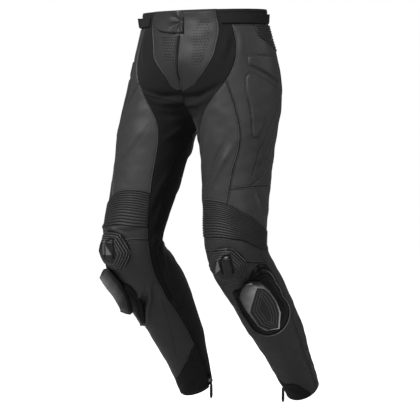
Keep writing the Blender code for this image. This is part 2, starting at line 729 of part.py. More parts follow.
def waist_strap(half):
    """Adjusting strap laid on the waistband, its end standing a little proud at the side."""
    station, bearing = patch(upright(STRAP_START), upright(STRAP_END), level(STRAP_TOP),
                             level(STRAP_BOTTOM), 2, 12)
    proud = STRAP_END_LIFT * smooth_step((bearing - STRAP_END + 16.0) / 16.0)
    panel("waist_strap", half, station, bearing, WEBBING, lift=LAY_GAP + WALL + proud)


ZIP_TAPE = 0.0014


def hem_zip(half):
    """Tape of the hem zip, between the shin front and the inner calf."""
    s = seams(half)
    station, bearing = patch(s["zip_back"], s["shin_front"], level(ZIP_TOP), level(2.990), 12, 1)
    panel("hem_zip", half, station, bearing, WEBBING, thickness=ZIP_TAPE)


# ---------------------------------------------------------------- pieces across the middle


def both_halves(halves, station, bearing_of, lift):
    """Grid across the middle plane: the left half's columns, then the right half's."""
    left, right = halves
    a = surface(left, station, bearing_of(left, station), lift)
    b = surface(right, station, bearing_of(right, station), lift)
    return np.concatenate([a, b[:, ::-1]], axis=1)


def waistband(halves):
    """Band round the sides and back, from one edge of the front shield to the other."""
    share = np.linspace(0.0, 1.0, 17)[:-1]
    station = np.linspace(0.0, BAND_BOTTOM, 3)[:, None] + 0.0 * share

    def bearing_of(half, v):
        start = curve(SHIELD_SEAM)(v)
        return start + (half.ends(v)[1] - start) * share / share[-1] * 0.985

    outer, inner = (inset(both_halves(halves, station, bearing_of, lift))
                    for lift in (0.0, -WALL))
    wall("waistband", outer, inner, WEBBING)


FLY_TOP, FLY_BOTTOM = 0.40, 1.040
FLY_HALF_WIDTH = 9.0            # degrees of bearing
FLY_TAPE = 0.0012
FLY_BEHIND = 0.0018             # the shields' flat facets dip this far behind their curve


def fly_zip(halves):
    """Zip tape behind the front edges of the two shields."""
    share = np.array([1.0, 0.5, 0.08])
    station = np.linspace(FLY_TOP, FLY_BOTTOM, 9)[:, None] + 0.0 * share

    def bearing_of(half, v):
        return half.ends(v)[0] + FLY_HALF_WIDTH * share

    top = -WALL - FLY_BEHIND
    outer, inner = (both_halves(halves, station, bearing_of, lift)
                    for lift in (top, top - FLY_TAPE))
    wall("fly_zip", outer, inner, WEBBING)


# Lower edge of the waist tab: bearing, station.
TAB_EDGE = ((-36, 0.405), (-28, 0.400), (-16, 0.375), (-6, 0.330), (0, 0.270), (5, 0.150))
TAB_SIDE = 5.0


def waist_tab(half):
    """Flap over the top of the fly, laid on the wearer's right shield."""
    station, bearing = patch(lambda v: half.ends(v)[0] + 0.4, upright(TAB_SIDE), level(0.004),
                             curve(TAB_EDGE), 5, 5)
    outer, inner = (inset(surface(half, station, bearing, lift))
                    for lift in (LAY_GAP + WALL, LAY_GAP))
    wall("waist_tab", outer, inner, LEATHER)


# ---------------------------------------------------------------- hard pieces of one half

HOLLOW = 0.0015                 # how far an underside stands off, inside its edge
WIDE_HOLLOW = 0.0024            # the same for the wide base, whose facets are longer

CUP_CENTRES = {"left": (2.000, -1.0), "right": (1.985, 0.0)}
# Reach of the knee cup: direction, metres.
CUP_OUTLINE = ((0, 0.050), (60, 0.048), (120, 0.049), (180, 0.050), (240, 0.052), (300, 0.052))
# Rings of the knee cup, its underside first: scale, lift, shift towards the hem.
CUP_RINGS = (
    (0.45, HOLLOW, 0.0), (0.80, HOLLOW, 0.0), (1.00, LAY_GAP, 0.0), (1.02, 0.003, 0.0),
    (0.94, 0.0045, 0.0),
    (0.88, 0.009, 0.0), (0.78, 0.0105, 0.0), (0.70, 0.0145, 0.001), (0.52, 0.0165, 0.002),
    (0.40, 0.0190, 0.003), (0.20, 0.0195, 0.004),
)

BASE_CENTRES = {"left": (2.215, 24.0), "right": (2.215, 30.0)}
# Turn of the slider and its base on each leg, in degrees, the hem end outwards.
SLIDER_TURN = {"left": 0.0, "right": 8.0}
# Reach of the padded slider base, whose upper tongue runs up beside the cup.
BASE_OUTLINE = ((0, 0.104), (22, 0.102), (38, 0.096), (70, 0.062), (90, 0.062), (115, 0.073),
                (135, 0.098), (152, 0.118), (163, 0.118), (171, 0.102), (180, 0.080),
                (195, 0.072), (216, 0.078), (232, 0.069), (255, 0.062), (280, 0.061),
                (305, 0.067), (330, 0.089), (345, 0.100))
BASE_TOP = 0.0080
# Rings of the slider base, its underside first.
BASE_RINGS = (
    (0.30, WIDE_HOLLOW, 0.0), (0.60, WIDE_HOLLOW, 0.0), (0.85, 0.0018, 0.0),
    (1.00, 0.0009, 0.0),
    (1.01, 0.0030, 0.0), (0.95, 0.0060, 0.0),
    (0.82, BASE_TOP, 0.0), (0.45, BASE_TOP, 0.0),
)

PUCK_CENTRES = {"left": (2.210, 22.0), "right": (2.180, 27.5)}
PUCK_OUTLINE = ((4, 0.076), (27, 0.049), (60, 0.029), (106, 0.026), (135, 0.040), (156, 0.062),
                (175, 0.074), (196, 0.066), (222, 0.039), (250, 0.028), (280, 0.027),
                (329, 0.040), (345, 0.064))
PUCK_SEAT = BASE_TOP + LAY_GAP
# Rings of the puck, its seat first.
PUCK_RINGS = (
    (0.25, BASE_TOP + HOLLOW, 0.0), (0.50, BASE_TOP + HOLLOW, 0.0), (0.78, PUCK_SEAT, 0.0),
    (0.98, 0.0125, 0.0), (1.00, 0.0180, 0.0), (0.93, 0.0290, 0.0), (0.78, 0.0365, 0.0),
    (0.62, 0.0360, 0.0), (0.30, 0.0350, 0.0),
)


def turned(outline, degrees):
    """The same outline, turned round its centre."""
    return [(direction + degrees, reach) for direction, reach in outline]


def knee_armour(half):
    """Moulded knee cup, padded slider base and the slider puck held on it."""
    name = half.leg.name
    turn = SLIDER_TURN[name]
    mound(f"knee_cup_{name}", half, CUP_CENTRES[name], CUP_OUTLINE, CUP_RINGS, MOULDED)
    mound(f"slider_base_{name}", half, BASE_CENTRES[name], turned(BASE_OUTLINE, turn),
          BASE_RINGS, STRETCH, directions=32)
    mound(f"slider_puck_{name}", half, PUCK_CENTRES[name], turned(PUCK_OUTLINE, turn),
          PUCK_RINGS, PUCK)


ZIP_END = 2.955                 # station where the closed zip's slider stands
SLIDER_LENGTH, SLIDER_WIDTH = 0.009, 0.009
SLIDER_TOP = 0.0032             # all heights are above the tape
CHEEK, CHEEK_LENGTH, CHEEK_TOP = 0.0015, 0.005, 0.0085
BAR_HEIGHT, BAR_RADIUS = 0.0068, 0.0010
EYE_RADIUS, EYE_HOLE, EYE_HALF_WIDTH = 0.0030, 0.0014, 0.0023
PULL_HALF_THICK = 0.0010
# The pull's strip: height under the axis, half width.
PULL_STRIP = ((-0.0050, 0.0023), (-0.0080, 0.0048), (-0.0120, 0.0055), (-0.0440, 0.0048),
              (-0.0475, 0.0036), (-0.0490, 0.0020))


def zip_frame(half):
    """Foot of the slider, its bar's level direction, and the way out of the tape."""
    turn = curve(STRETCH_SEAM)(np.array(ZIP_END))
    foot, out = half.at(ZIP_END, turn)
    along = np.cross(out, (0.0, 0.0, 1.0))
    return foot, along / np.linalg.norm(along), out


def zip_slider(half):
    """Slider block with two cheeks, and the bar between them that the pull hangs on."""
    foot, along, out = zip_frame(half)
    up = np.cross(along, out)
    w, c = SLIDER_WIDTH / 2.0, SLIDER_WIDTH / 2.0 - CHEEK
    outline = ((-w, LAY_GAP), (w, LAY_GAP), (w, CHEEK_TOP), (c, CHEEK_TOP), (c, SLIDER_TOP),
               (-c, SLIDER_TOP), (-c, CHEEK_TOP), (-w, CHEEK_TOP))
    points = [foot + along * a + out * n + up * (t * length / 2.0)
              for t in (-1.0, 1.0) for a, n in outline
              for length in (CHEEK_LENGTH if n > SLIDER_TOP else SLIDER_LENGTH,)]
    around = len(outline)
    faces = [(i, (i + 1) % around, (i + 1) % around + around, i + around)
             for i in range(around)]
    for s in (0, around):
        faces += [(s, s + 1, s + 4, s + 5), (s + 1, s + 2, s + 3, s + 4), (s, s + 5, s + 6, s + 7)]
    made = body(f"zip_slider_{half.leg.name}", points, faces, METAL)

    turns = np.linspace(0.0, 2.0 * np.pi, 16, endpoint=False)
    centre = foot + out * BAR_HEIGHT
    reach = c + CHEEK / 2.0
    points = [centre + along * a + (out * np.cos(t) + up * np.sin(t)) * BAR_RADIUS
              for a in (-reach, reach) for t in turns]
    faces = [(i, (i + 1) % 16, (i + 1) % 16 + 16, i + 16) for i in range(16)]
    faces += [tuple(range(16)), tuple(range(16, 32))]
    bar = body(f"zip_bar_{half.leg.name}", points, faces, METAL)
    bar.hide_render = True
    bar.display_type = "WIRE"
    union = made.modifiers.new("bar", "BOOLEAN")
    union.operation = "UNION"
    union.solver = "EXACT"
    union.object = bar


def zip_pull(half):
    """Flat pull tab that hangs by its eye from the slider's bar; its origin is on the bar."""
    foot, along, out = zip_frame(half)
    level_out = np.cross((0.0, 0.0, 1.0), along)
    first = np.arcsin(PULL_HALF_THICK / EYE_RADIUS)
    turns = np.linspace(first, 2.0 * np.pi - first, 16)
    circle = np.stack([np.sin(turns), -np.cos(turns)], axis=1)
    half_side = np.concatenate([circle * EYE_RADIUS, circle * EYE_HOLE])
    widths = np.full(len(half_side), EYE_HALF_WIDTH)
    for z, w in PULL_STRIP:
        half_side = np.vstack([half_side, [(PULL_HALF_THICK, z), (-PULL_HALF_THICK, z)]])
        widths = np.append(widths, (w, w))
    count = len(half_side)
    points = np.concatenate([side * widths[:, None] * along
                             + half_side[:, :1] * level_out
                             + half_side[:, 1:] * np.array([0.0, 0.0, 1.0])
                             for side in (-1.0, 1.0)])
    faces = []
    for i in range(16):
        j = (i + 1) % 16
        for s in (0, count):
            faces.append((s + i, s + j, s + 16 + j, s + 16 + i))
        faces.append((16 + i, 16 + j, count + 16 + j, count + 16 + i))
        if j:
            faces.append((i, j, count + j, count + i))
    front, back = [0, *range(32, count, 2)], [15, *range(33, count, 2)]
    for k in range(len(front) - 1):
        a, b, c, d = front[k], front[k + 1], back[k + 1], back[k]
        faces += [(a, b, c, d), (a + count, b + count, c + count, d + count),
                  (a, b, b + count, a + count), (d, c, c + count, d + count)]
    faces.append((front[-1], back[-1], back[-1] + count, front[-1] + count))
    made = body(f"zip_pull_{half.leg.name}", points, faces, MOULDED)
    made.location = foot + out * BAR_HEIGHT


def build():
    """Make every piece."""
    left = Half(LEGS[0], LEGS[1])
    right = Half(LEGS[1], LEGS[0])
    for half in (left, right):
        cloth_pieces(half)
        waist_strap(half)
        hem_zip(half)
        zip_slider(half)
        zip_pull(half)
        knee_armour(half)
    waistband((left, right))
    fly_zip((left, right))
    waist_tab(right)


for leftover in list(bpy.data.objects):
    bpy.data.objects.remove(leftover)
build()
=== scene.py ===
"""Motorcycle trousers of leather and stretch fabric: the finished look.

The cloth is one worked-out surface cut into panels.  A place on it is a station (0 waist, 1 hip,
2 knee, 3 hem) and a bearing round the leg (0 front, 90 outer side, 180 back, -90 inner side).
Every panel is a fine grid of such places, lifted by folds, embossing, ribs and rolled seams.
"""

from typing import NamedTuple

import bmesh
import bpy
import numpy as np
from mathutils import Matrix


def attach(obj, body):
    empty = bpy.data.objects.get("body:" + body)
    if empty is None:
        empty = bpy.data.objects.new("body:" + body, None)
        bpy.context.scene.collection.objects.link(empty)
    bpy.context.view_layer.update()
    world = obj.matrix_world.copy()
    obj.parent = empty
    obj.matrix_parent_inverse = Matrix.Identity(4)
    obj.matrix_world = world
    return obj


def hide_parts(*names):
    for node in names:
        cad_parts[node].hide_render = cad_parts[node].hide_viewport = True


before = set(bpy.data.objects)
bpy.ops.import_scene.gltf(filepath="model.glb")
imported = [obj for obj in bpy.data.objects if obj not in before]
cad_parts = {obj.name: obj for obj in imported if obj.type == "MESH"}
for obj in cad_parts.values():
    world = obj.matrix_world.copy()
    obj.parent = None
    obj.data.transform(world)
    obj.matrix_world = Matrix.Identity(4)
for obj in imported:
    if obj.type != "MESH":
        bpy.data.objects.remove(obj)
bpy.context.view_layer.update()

bl_info = {
    "name": "Motorcycle trousers",
    "version": (1, 0, 0),
    "blender": (4, 5, 0),
    "location": "3D View > Sidebar > Trousers",
    "description": "Builds leather motorcycle trousers with ribbed knees, knee cups and sliders",
    "category": "Add Mesh",
}

# ---------------------------------------------------------------- the cut of the trousers

WAIST_CENTRE_OUT, WAIST_DEPTH, BACK_RISE, WAIST_TILT, RISE_FADE = 0.066, 0.224, 0.016, -0.020, 0.7
HIP_BEND, KNEE_BEND = 0.5, 0.17
BLEND_TOP, BLEND_BOTTOM = -0.11, -0.31
FORK_SOFTNESS, WEB_TOP, WEB_LENGTH = 0.10, -0.25, 0.12
RING_LEAN, FREE_FROM, FREE_AT = (1.42, 1.70), 1.40, 1.55


class Leg(NamedTuple):
    """One leg: joints of its middle line, knee bearing, bow of the shin and knee ribs.

    Then the turns of its thigh and shield seams, the places of its hard pieces and the turn
    of its slider.
    """
    name: str
    side: int
    hip: tuple
    knee: tuple
    hem: tuple
    facing: float
    bow: float
    ribs: int
    seam_turns: tuple
    cup: tuple
    base: tuple
    puck: tuple
    slider_turn: float


# Turn of the shield's seam on the left and on the right leg: station, degrees outwards.
SHIELD_TURNS = (
    ((0.0, 0.0), (0.15, 0.0), (0.30, 1.4), (0.60, 3.8), (0.77, 4.4), (0.93, 4.2),
     (1.034, 3.0), (1.058, 1.0)),
    ((0.0, 0.0), (0.15, 0.0), (0.35, -4.0), (0.50, -6.0), (0.73, -6.0), (0.876, -9.0),
     (0.986, -7.0), (1.034, -3.0), (1.058, 0.0)),
)
LEGS = (
    Leg("left", 1, (0.098, 0.0, -0.140), (0.118, -0.055, -0.600), (0.155, 0.240, -0.950),
        6.0, 0.026, 15, (0.0, SHIELD_TURNS[0]), (2.000, -1.0), (2.215, 24.0), (2.210, 22.0), 0.0),
    Leg("right", -1, (-0.099, 0.0, -0.140), (-0.143, -0.118, -0.580), (-0.100, 0.131, -0.947),
        -14.0, 0.040, 13, (9.0, SHIELD_TURNS[1]), (1.985, 0.0), (2.215, 30.0), (2.180, 27.5), 8.0),
)
# Sections round both hips: height, half width, depth to the front, depth to the back.
HIP_SECTIONS = (
    (0.010, 0.167, 0.112, 0.112), (-0.030, 0.170, 0.115, 0.118), (-0.070, 0.181, 0.123, 0.133),
    (-0.110, 0.191, 0.131, 0.148), (-0.160, 0.200, 0.134, 0.156), (-0.210, 0.204, 0.124, 0.156),
    (-0.260, 0.204, 0.105, 0.148), (-0.330, 0.204, 0.095, 0.130),
)
# Sections of a leg: station, half width, depth to the front, depth to the back.
LEG_SECTIONS = (
    (0.00, 0.105, 0.112, 0.110), (1.00, 0.106, 0.114, 0.132), (1.15, 0.105, 0.110, 0.128),
    (1.30, 0.098, 0.102, 0.115), (1.50, 0.088, 0.090, 0.096), (1.70, 0.081, 0.082, 0.080),
    (1.85, 0.078, 0.077, 0.070), (2.00, 0.075, 0.080, 0.063), (2.15, 0.072, 0.073, 0.076),
    (2.30, 0.068, 0.079, 0.080), (2.50, 0.063, 0.075, 0.070), (2.75, 0.054, 0.059, 0.055),
    (3.00, 0.044, 0.045, 0.044),
)
# Seams that run down the garment: station, bearing.
STRETCH_SEAM = (
    (0.00, 31), (0.35, 32), (0.68, 31), (0.86, 25.5), (0.97, 16), (1.05, 5), (1.13, -9),
    (1.21, -24), (1.28, -36), (1.36, -46), (1.43, -51), (1.51, -55), (1.69, -60), (1.88, -70),
    (2.00, -74), (2.14, -71), (2.24, -68), (2.41, -74), (2.60, -81), (2.74, -86), (2.92, -97),
    (3.00, -102),
)
SHIELD_SEAM = ((0.00, 14), (0.35, 11), (0.60, 3), (0.81, -6), (0.90, -14), (0.965, -22),
               (1.034, -35), (1.058, -44))
THIGH_SEAM = ((0.90, 10), (0.985, 15), (1.22, 26), (1.33, 30), (1.43, 28), (1.56, 18),
              (1.68, 12), (1.78, 5))
YOKE_SEAM = ((0.00, 65), (0.30, 66), (0.40, 68), (0.48, 73), (0.54, 82), (0.60, 96),
             (0.66, 112))
SIDE_SEAM = ((0.66, 112), (1.00, 115), (1.40, 113), (1.70, 110), (2.02, 108))
SHIN_SEAM = ((1.90, 71), (2.00, 71), (2.05, 75), (2.17, 80), (2.28, 77), (2.41, 74),
             (2.57, 70), (2.73, 67.5), (2.94, 73.5), (3.00, 76))
ZIP_HALF_WIDTH, ZIP_TOP, ZIP_SPREAD, GODET_TOP = 4.5, 2.30, 0.12, 2.05
# Seams that run round the garment: bearing, station.
BAND_BOTTOM, YOKE_BOTTOM = 0.264, 0.66
FORK_CREASE = ((-62, 1.165), (-52, 1.15), (-25, 1.115), (0, 1.08), (12, 1.06))
THIGH_CROSS_SEAM = ((0, 1.69), (12, 1.676), (46, 1.654), (115, 1.62))
SEAT_BOTTOM = ((110, 1.50), (180, 1.54), (225, 1.45), (270, 1.27))
RIBS_TOP = ((-80, 1.71), (-62, 1.72), (-38, 1.722), (-15, 1.732), (3, 1.745), (18, 1.762),
            (34, 1.788), (56, 1.813), (78, 1.848), (100, 1.870), (116, 1.880))
RIBS_BOTTOM = ((-80, 1.885), (-45, 1.895), (-15, 1.894), (18, 1.905), (39, 1.916), (60, 1.950),
               (87, 1.985), (106, 2.004), (120, 2.010), (135, 2.010), (270, 2.010))
KNEE_SEAM = ((-85, 1.949), (-30, 1.949), (0, 1.965), (34, 1.996), (82, 2.055))
HEM_SEAM = {
    "left": ((-95, 2.63), (-74, 2.69), (-40, 2.825), (-18, 2.868), (0, 2.864), (18, 2.892),
             (30, 2.940), (38, 2.966), (47, 3.000), (90, 3.000)),
    "right": ((-95, 2.63), (-74, 2.672), (-40, 2.765), (-8, 2.850), (18, 2.895), (38, 2.960),
              (47, 3.000), (90, 3.000)),
}
HEM_GUSSET_END = 46.2
# Straight folds: station, bearing, heading (0 along the leg, 90 round it), length, width, height.
FOLDS = (
    (1.13, -22, 78, 0.110, 0.016, -0.0035), (1.20, 0, 60, 0.120, 0.022, 0.0030),
    (1.46, 0, 25, 0.190, 0.020, 0.0030), (1.40, 62, -12, 0.170, 0.022, 0.0030),
    (1.58, 84, 18, 0.150, 0.020, 0.0028), (1.30, 192, 84, 0.150, 0.022, -0.0040),
    (1.44, 170, 70, 0.120, 0.022, 0.0032), (1.88, 182, 86, 0.120, 0.016, 0.0035),
    (1.98, 188, 92, 0.120, 0.014, -0.0045), (2.08, 178, 86, 0.110, 0.016, 0.0035),
    (2.40, -46, 8, 0.120, 0.016, 0.0030), (2.62, 130, 14, 0.150, 0.018, 0.0028),
    (2.66, 215, -10, 0.140, 0.018, 0.0028),
)
# Creases: which leg ("both" or a name), width, height, then places along it (station, bearing).
CREASES = (
    ("left", 0.008, -0.0036, (1.391, 9), (1.494, -10), (1.608, -30), (1.700, -54)),
    ("left", 0.008, 0.0032, (1.400, 22), (1.520, 0), (1.640, -22), (1.712, -40)),
    ("left", 0.007, 0.0024, (1.30, -20), (1.42, -34), (1.55, -50)),
    ("left", 0.005, 0.0036, (1.676, 58), (1.745, 70), (1.813, 88)),
    ("left", 0.005, 0.0028, (1.665, 72), (1.722, 88), (1.768, 104)),
    ("left", 0.006, -0.0028, (1.668, 65), (1.735, 79), (1.790, 96)),
    ("left", 0.008, 0.0016, (2.40, 30), (2.56, 18), (2.70, -6)),
    ("right", 0.005, 0.0045, (1.900, 48), (1.915, -3), (1.927, -21), (1.945, -42)),
    ("right", 0.005, 0.0030, (1.906, 10), (1.902, -27), (1.893, -55)),
    ("right", 0.005, -0.0025, (1.925, 30), (1.930, -10), (1.938, -30)),
    ("right", 0.005, 0.0048, (2.120, -66), (2.153, -49), (2.277, -22), (2.367, -11),
     (2.456, 16)),
    ("right", 0.006, 0.0034, (2.120, -58), (2.130, -42), (2.187, -18), (2.276, 2)),
    ("right", 0.009, -0.0030, (2.150, -36), (2.240, -16), (2.330, -2)),
    ("right", 0.005, -0.0018, (1.925, 20), (1.936, -20), (1.940, -52)),
    ("right", 0.006, 0.0030, (2.120, -56), (2.232, -32), (2.356, -10), (2.458, 12)),
    ("right", 0.007, -0.0022, (2.180, -28), (2.290, -4), (2.400, 18)),
    ("right", 0.007, -0.0020, (2.170, -54), (2.280, -40), (2.420, -22)),
    ("right", 0.007, 0.0006, (1.28, -24), (1.42, -6), (1.58, 14)),
    ("right", 0.006, -0.0006, (1.34, -26), (1.48, -8), (1.64, 10)),
    ("right", 0.008, 0.0009, (1.22, 20), (1.34, 36), (1.50, 44)),
    ("both", 0.007, 0.0022, (1.70, 130), (1.80, 150), (1.86, 175)),
    ("both", 0.005, -0.0050, (1.92, 140), (1.935, 170), (1.93, 200), (1.94, 222)),
    ("both", 0.005, 0.0050, (1.955, 132), (1.962, 168), (1.958, 202), (1.965, 226)),
    ("both", 0.005, -0.0043, (2.025, 150), (2.035, 180), (2.030, 215)),
    ("both", 0.005, 0.0043, (2.060, 140), (2.065, 176), (2.055, 222)),
    ("both", 0.007, 0.0026, (2.14, 130), (2.19, 160), (2.17, 200)),
    ("both", 0.007, -0.0024, (2.20, 214), (2.26, 190), (2.36, 168)),
    ("both", 0.008, 0.0029, (2.44, 200), (2.56, 176), (2.68, 160)),
    ("both", 0.007, -0.0024, (2.52, 214), (2.64, 190), (2.78, 176)),
    ("both", 0.005, 0.0024, (2.76, 150), (2.84, 176), (2.86, 204)),
    ("both", 0.005, -0.0022, (2.82, 130), (2.88, 160), (2.90, 190)),
    ("both", 0.008, -0.0038, (1.33, 226), (1.38, 212), (1.40, 190), (1.36, 164)),
    ("both", 0.007, 0.0036, (1.40, 226), (1.46, 212), (1.48, 194), (1.45, 170)),
    ("both", 0.007, -0.0026, (1.50, 222), (1.56, 210), (1.59, 194)),
    ("both", 0.008, 0.0026, (1.58, 220), (1.65, 204), (1.69, 188)),
    ("both", 0.010, 0.0029, (1.00, 140), (1.14, 150), (1.26, 168)),
    ("both", 0.008, -0.0022, (1.10, 128), (1.24, 140), (1.36, 156)),
    ("both", 0.007, -0.0019, (0.80, 210), (0.92, 224), (1.05, 232)),
    ("both", 0.006, -0.0030, (1.20, 234), (1.26, 224), (1.30, 208)),
    ("both", 0.005, 0.0026, (1.24, 230), (1.30, 220), (1.33, 204), (1.32, 184)),
    ("both", 0.006, 0.0024, (2.000, 228), (2.010, 214), (2.000, 198)),
    ("both", 0.006, -0.0022, (1.86, 222), (1.872, 206), (1.865, 186)),
    ("both", 0.007, -0.0048, (1.100, -58), (1.105, -30), (1.060, -6), (1.000, 12)),
    ("both", 0.006, 0.0038, (1.150, -60), (1.155, -34), (1.125, -12)),
    ("both", 0.008, -0.0020, (1.230, -70), (1.245, -50), (1.215, -30)),
    ("both", 0.008, 0.0020, (1.30, -82), (1.36, -66), (1.40, -54)),
    ("both", 0.009, 0.0018, (1.56, -86), (1.66, -76), (1.78, -66)),
    ("both", 0.008, -0.0018, (1.64, -88), (1.76, -80), (1.86, -74)),
    ("both", 0.008, 0.0022, (1.90, -100), (1.96, -88), (2.00, -76)),
    ("both", 0.007, -0.0022, (1.96, -112), (2.02, -98), (2.06, -84)),
    ("both", 0.008, 0.0020, (2.04, -110), (2.12, -96), (2.20, -88)),
    ("both", 0.008, 0.0016, (0.42, 24), (0.58, 20), (0.74, 12)),
    ("both", 0.008, -0.0014, (0.52, 30), (0.70, 24), (0.86, 12)),
    ("both", 0.010, 0.0014, (0.36, 42), (0.60, 40), (0.80, 36)),
    ("both", 0.009, 0.0016, (2.56, 34), (2.70, 44), (2.84, 56)),
    ("both", 0.009, -0.0014, (2.60, 96), (2.74, 110), (2.88, 122)),
    ("right", 0.008, 0.0016, (2.68, -30), (2.76, -50), (2.80, -72)),
    ("both", 0.007, 0.0016, (2.86, -60), (2.91, -30), (2.95, 0)),
    ("both", 0.006, -0.0014, (2.90, -70), (2.945, -44), (2.97, -20)),
)
# Pads pressed up in the leather of the hip: places round each.
PADS = (
    ((0.772, 47), (0.748, 54), (0.748, 96), (0.980, 100), (0.842, 47)),
    ((0.960, 43), (0.931, 47), (0.931, 56), (0.973, 67), (1.053, 102), (1.143, 92),
     (1.259, 71), (1.368, 55), (1.368, 49), (1.192, 47), (1.072, 42)),
)
CREASE_STRENGTH = 1.6
PAD_HEIGHT, PAD_EDGE = {"left": 0.0034, "right": 0.0020}, 0.0015
PAD_GROOVE, PAD_GROOVE_WIDTH = 0.0013, 0.0016
# Grooves pressed or sewn into both legs: width, depth, stitched, places along it.
GROOVES = (
    (0.0022, 0.0018, True, (1.368, 122), (1.460, 98), (1.540, 79), (1.608, 62),
     (1.650, 46)),
    (0.0020, 0.0013, False, (1.105, 106), (1.234, 89), (1.357, 73), (1.437, 60),
     (1.528, 54), (1.590, 50)),
    (0.0020, 0.0013, False, (1.260, 103), (1.368, 86), (1.471, 71), (1.540, 60)),
    (0.0018, 0.0011, False, (1.330, 106), (1.420, 88), (1.500, 74)),
    (0.0020, 0.0016, True, (1.925, 68), (1.975, 67), (2.030, 70)),
    (0.0020, 0.0014, False, (2.012, 38), (2.020, 52), (2.026, 66)),
    (0.0022, 0.0012, False, (2.260, -54), (2.420, -44), (2.600, -32), (2.700, -26),
     (2.735, -42), (2.690, -66)),
    (0.0022, 0.0012, False, (2.440, 100), (2.600, 96), (2.780, 100), (2.860, 116)),
)
STAND_OFF = 0.0007              # between a piece and what it lies on

# ---------------------------------------------------------------- the worked-out surface


def smooth_step(x):
    """Ease from 0 to 1: 3x^2 - 2x^3 between the two ends."""
    x = np.clip(x, 0.0, 1.0)
    return x * x * (3.0 - 2.0 * x)


def unit(v):
    """The same directions with length 1."""
    return v / np.linalg.norm(v, axis=-1)[..., None]


def ridge(x, at, width):
    """A rounded ridge of height 1 at a place."""
    return np.exp(-((x - at) / width) ** 2)


def through_rows(table, at):
    """Smooth curve through a table's rows: a cubic with Catmull-Rom slopes."""
    rows = np.array(sorted(table), dtype=float)
    stand, value = rows[:, 0], rows[:, 1:]
    step = np.diff(stand)[:, None]
    rise = np.diff(value, axis=0) / step
    inner = (step[1:] * rise[:-1] + step[:-1] * rise[1:]) / (step[1:] + step[:-1])
    slope = np.vstack([rise[:1], inner, rise[-1:]])
    at = np.clip(np.asarray(at, dtype=float), stand[0], stand[-1])
    i = np.clip(np.searchsorted(stand, at, side="right") - 1, 0, len(stand) - 2)
    h = step[i]
    s = (at - stand[i])[..., None] / h
    return ((1 + 2 * s) * (1 - s) ** 2 * value[i] + s * (1 - s) ** 2 * h * slope[i]
            + s * s * (3 - 2 * s) * value[i + 1] + s * s * (s - 1) * h * slope[i + 1])


def curve(table):
    """A table of two columns as a function of the first."""
    return lambda at: through_rows(table, at)[..., 0]


def middle_line(leg, station):
    """Middle line of a leg: straight runs with quadratic bends; the shin bows by a parabola."""
    v = np.asarray(station, dtype=float)[..., None]
    joints = [np.array(p, dtype=float) for p in
              ((leg.side * WAIST_CENTRE_OUT, 0.0, 0.0), leg.hip, leg.knee, leg.hem)]

    def straight(x):
        return (joints[0] + (joints[1] - joints[0]) * np.clip(x, -1.0, 1.0)
                + (joints[2] - joints[1]) * np.clip(x - 1.0, 0.0, 1.0)
                + (joints[3] - joints[2]) * np.clip(x - 2.0, 0.0, 1.5))

    line = straight(v)
    for corner, reach in ((1.0, HIP_BEND), (2.0, KNEE_BEND)):
        s = (v - corner + reach) / (2.0 * reach)
        bend = ((1 - s) ** 2 * straight(np.array([corner - reach]))
                + 2 * s * (1 - s) * joints[int(corner)]
                + s ** 2 * straight(np.array([corner + reach])))
        line = np.where(np.abs(v - corner) < reach, bend, line)
    s = np.clip(v - 1.9, 0.0, 1.1) / 1.1
    return line + np.array([0.0, leg.bow, 0.0]) * 4.0 * s * (1.0 - s) * smooth_step(3.0 * s)


def ring_frames(leg, station):
    """Centre, outward and forward directions of the ring at each station."""
    v = np.asarray(station, dtype=float)
    small = 1e-3
    centre = middle_line(leg, v)
    run = unit(middle_line(leg, v + small) - middle_line(leg, v - small))
    lean = smooth_step((v - RING_LEAN[0]) / (RING_LEAN[1] - RING_LEAN[0]))[..., None]
    down = unit((1.0 - lean) * np.array([0.0, 0.0, -1.0]) + lean * run)
    face = np.radians(leg.facing) * smooth_step((v - 1.0) / 0.6)
    fore = np.stack([np.sin(face), -np.cos(face), np.zeros_like(face)], axis=-1)
    fore = unit(fore - (fore * down).sum(axis=-1)[..., None] * down)
    return centre, np.cross(fore, down) * leg.side, fore


def beyond(across, ahead, section):
    """How far a point lies past an oval of two half ellipses: 0 on it, less than 0 inside."""
    depth = np.where(ahead > 0.0, section[..., 1], section[..., 2])
    return np.hypot(across / section[..., 0], ahead / depth) - 1.0


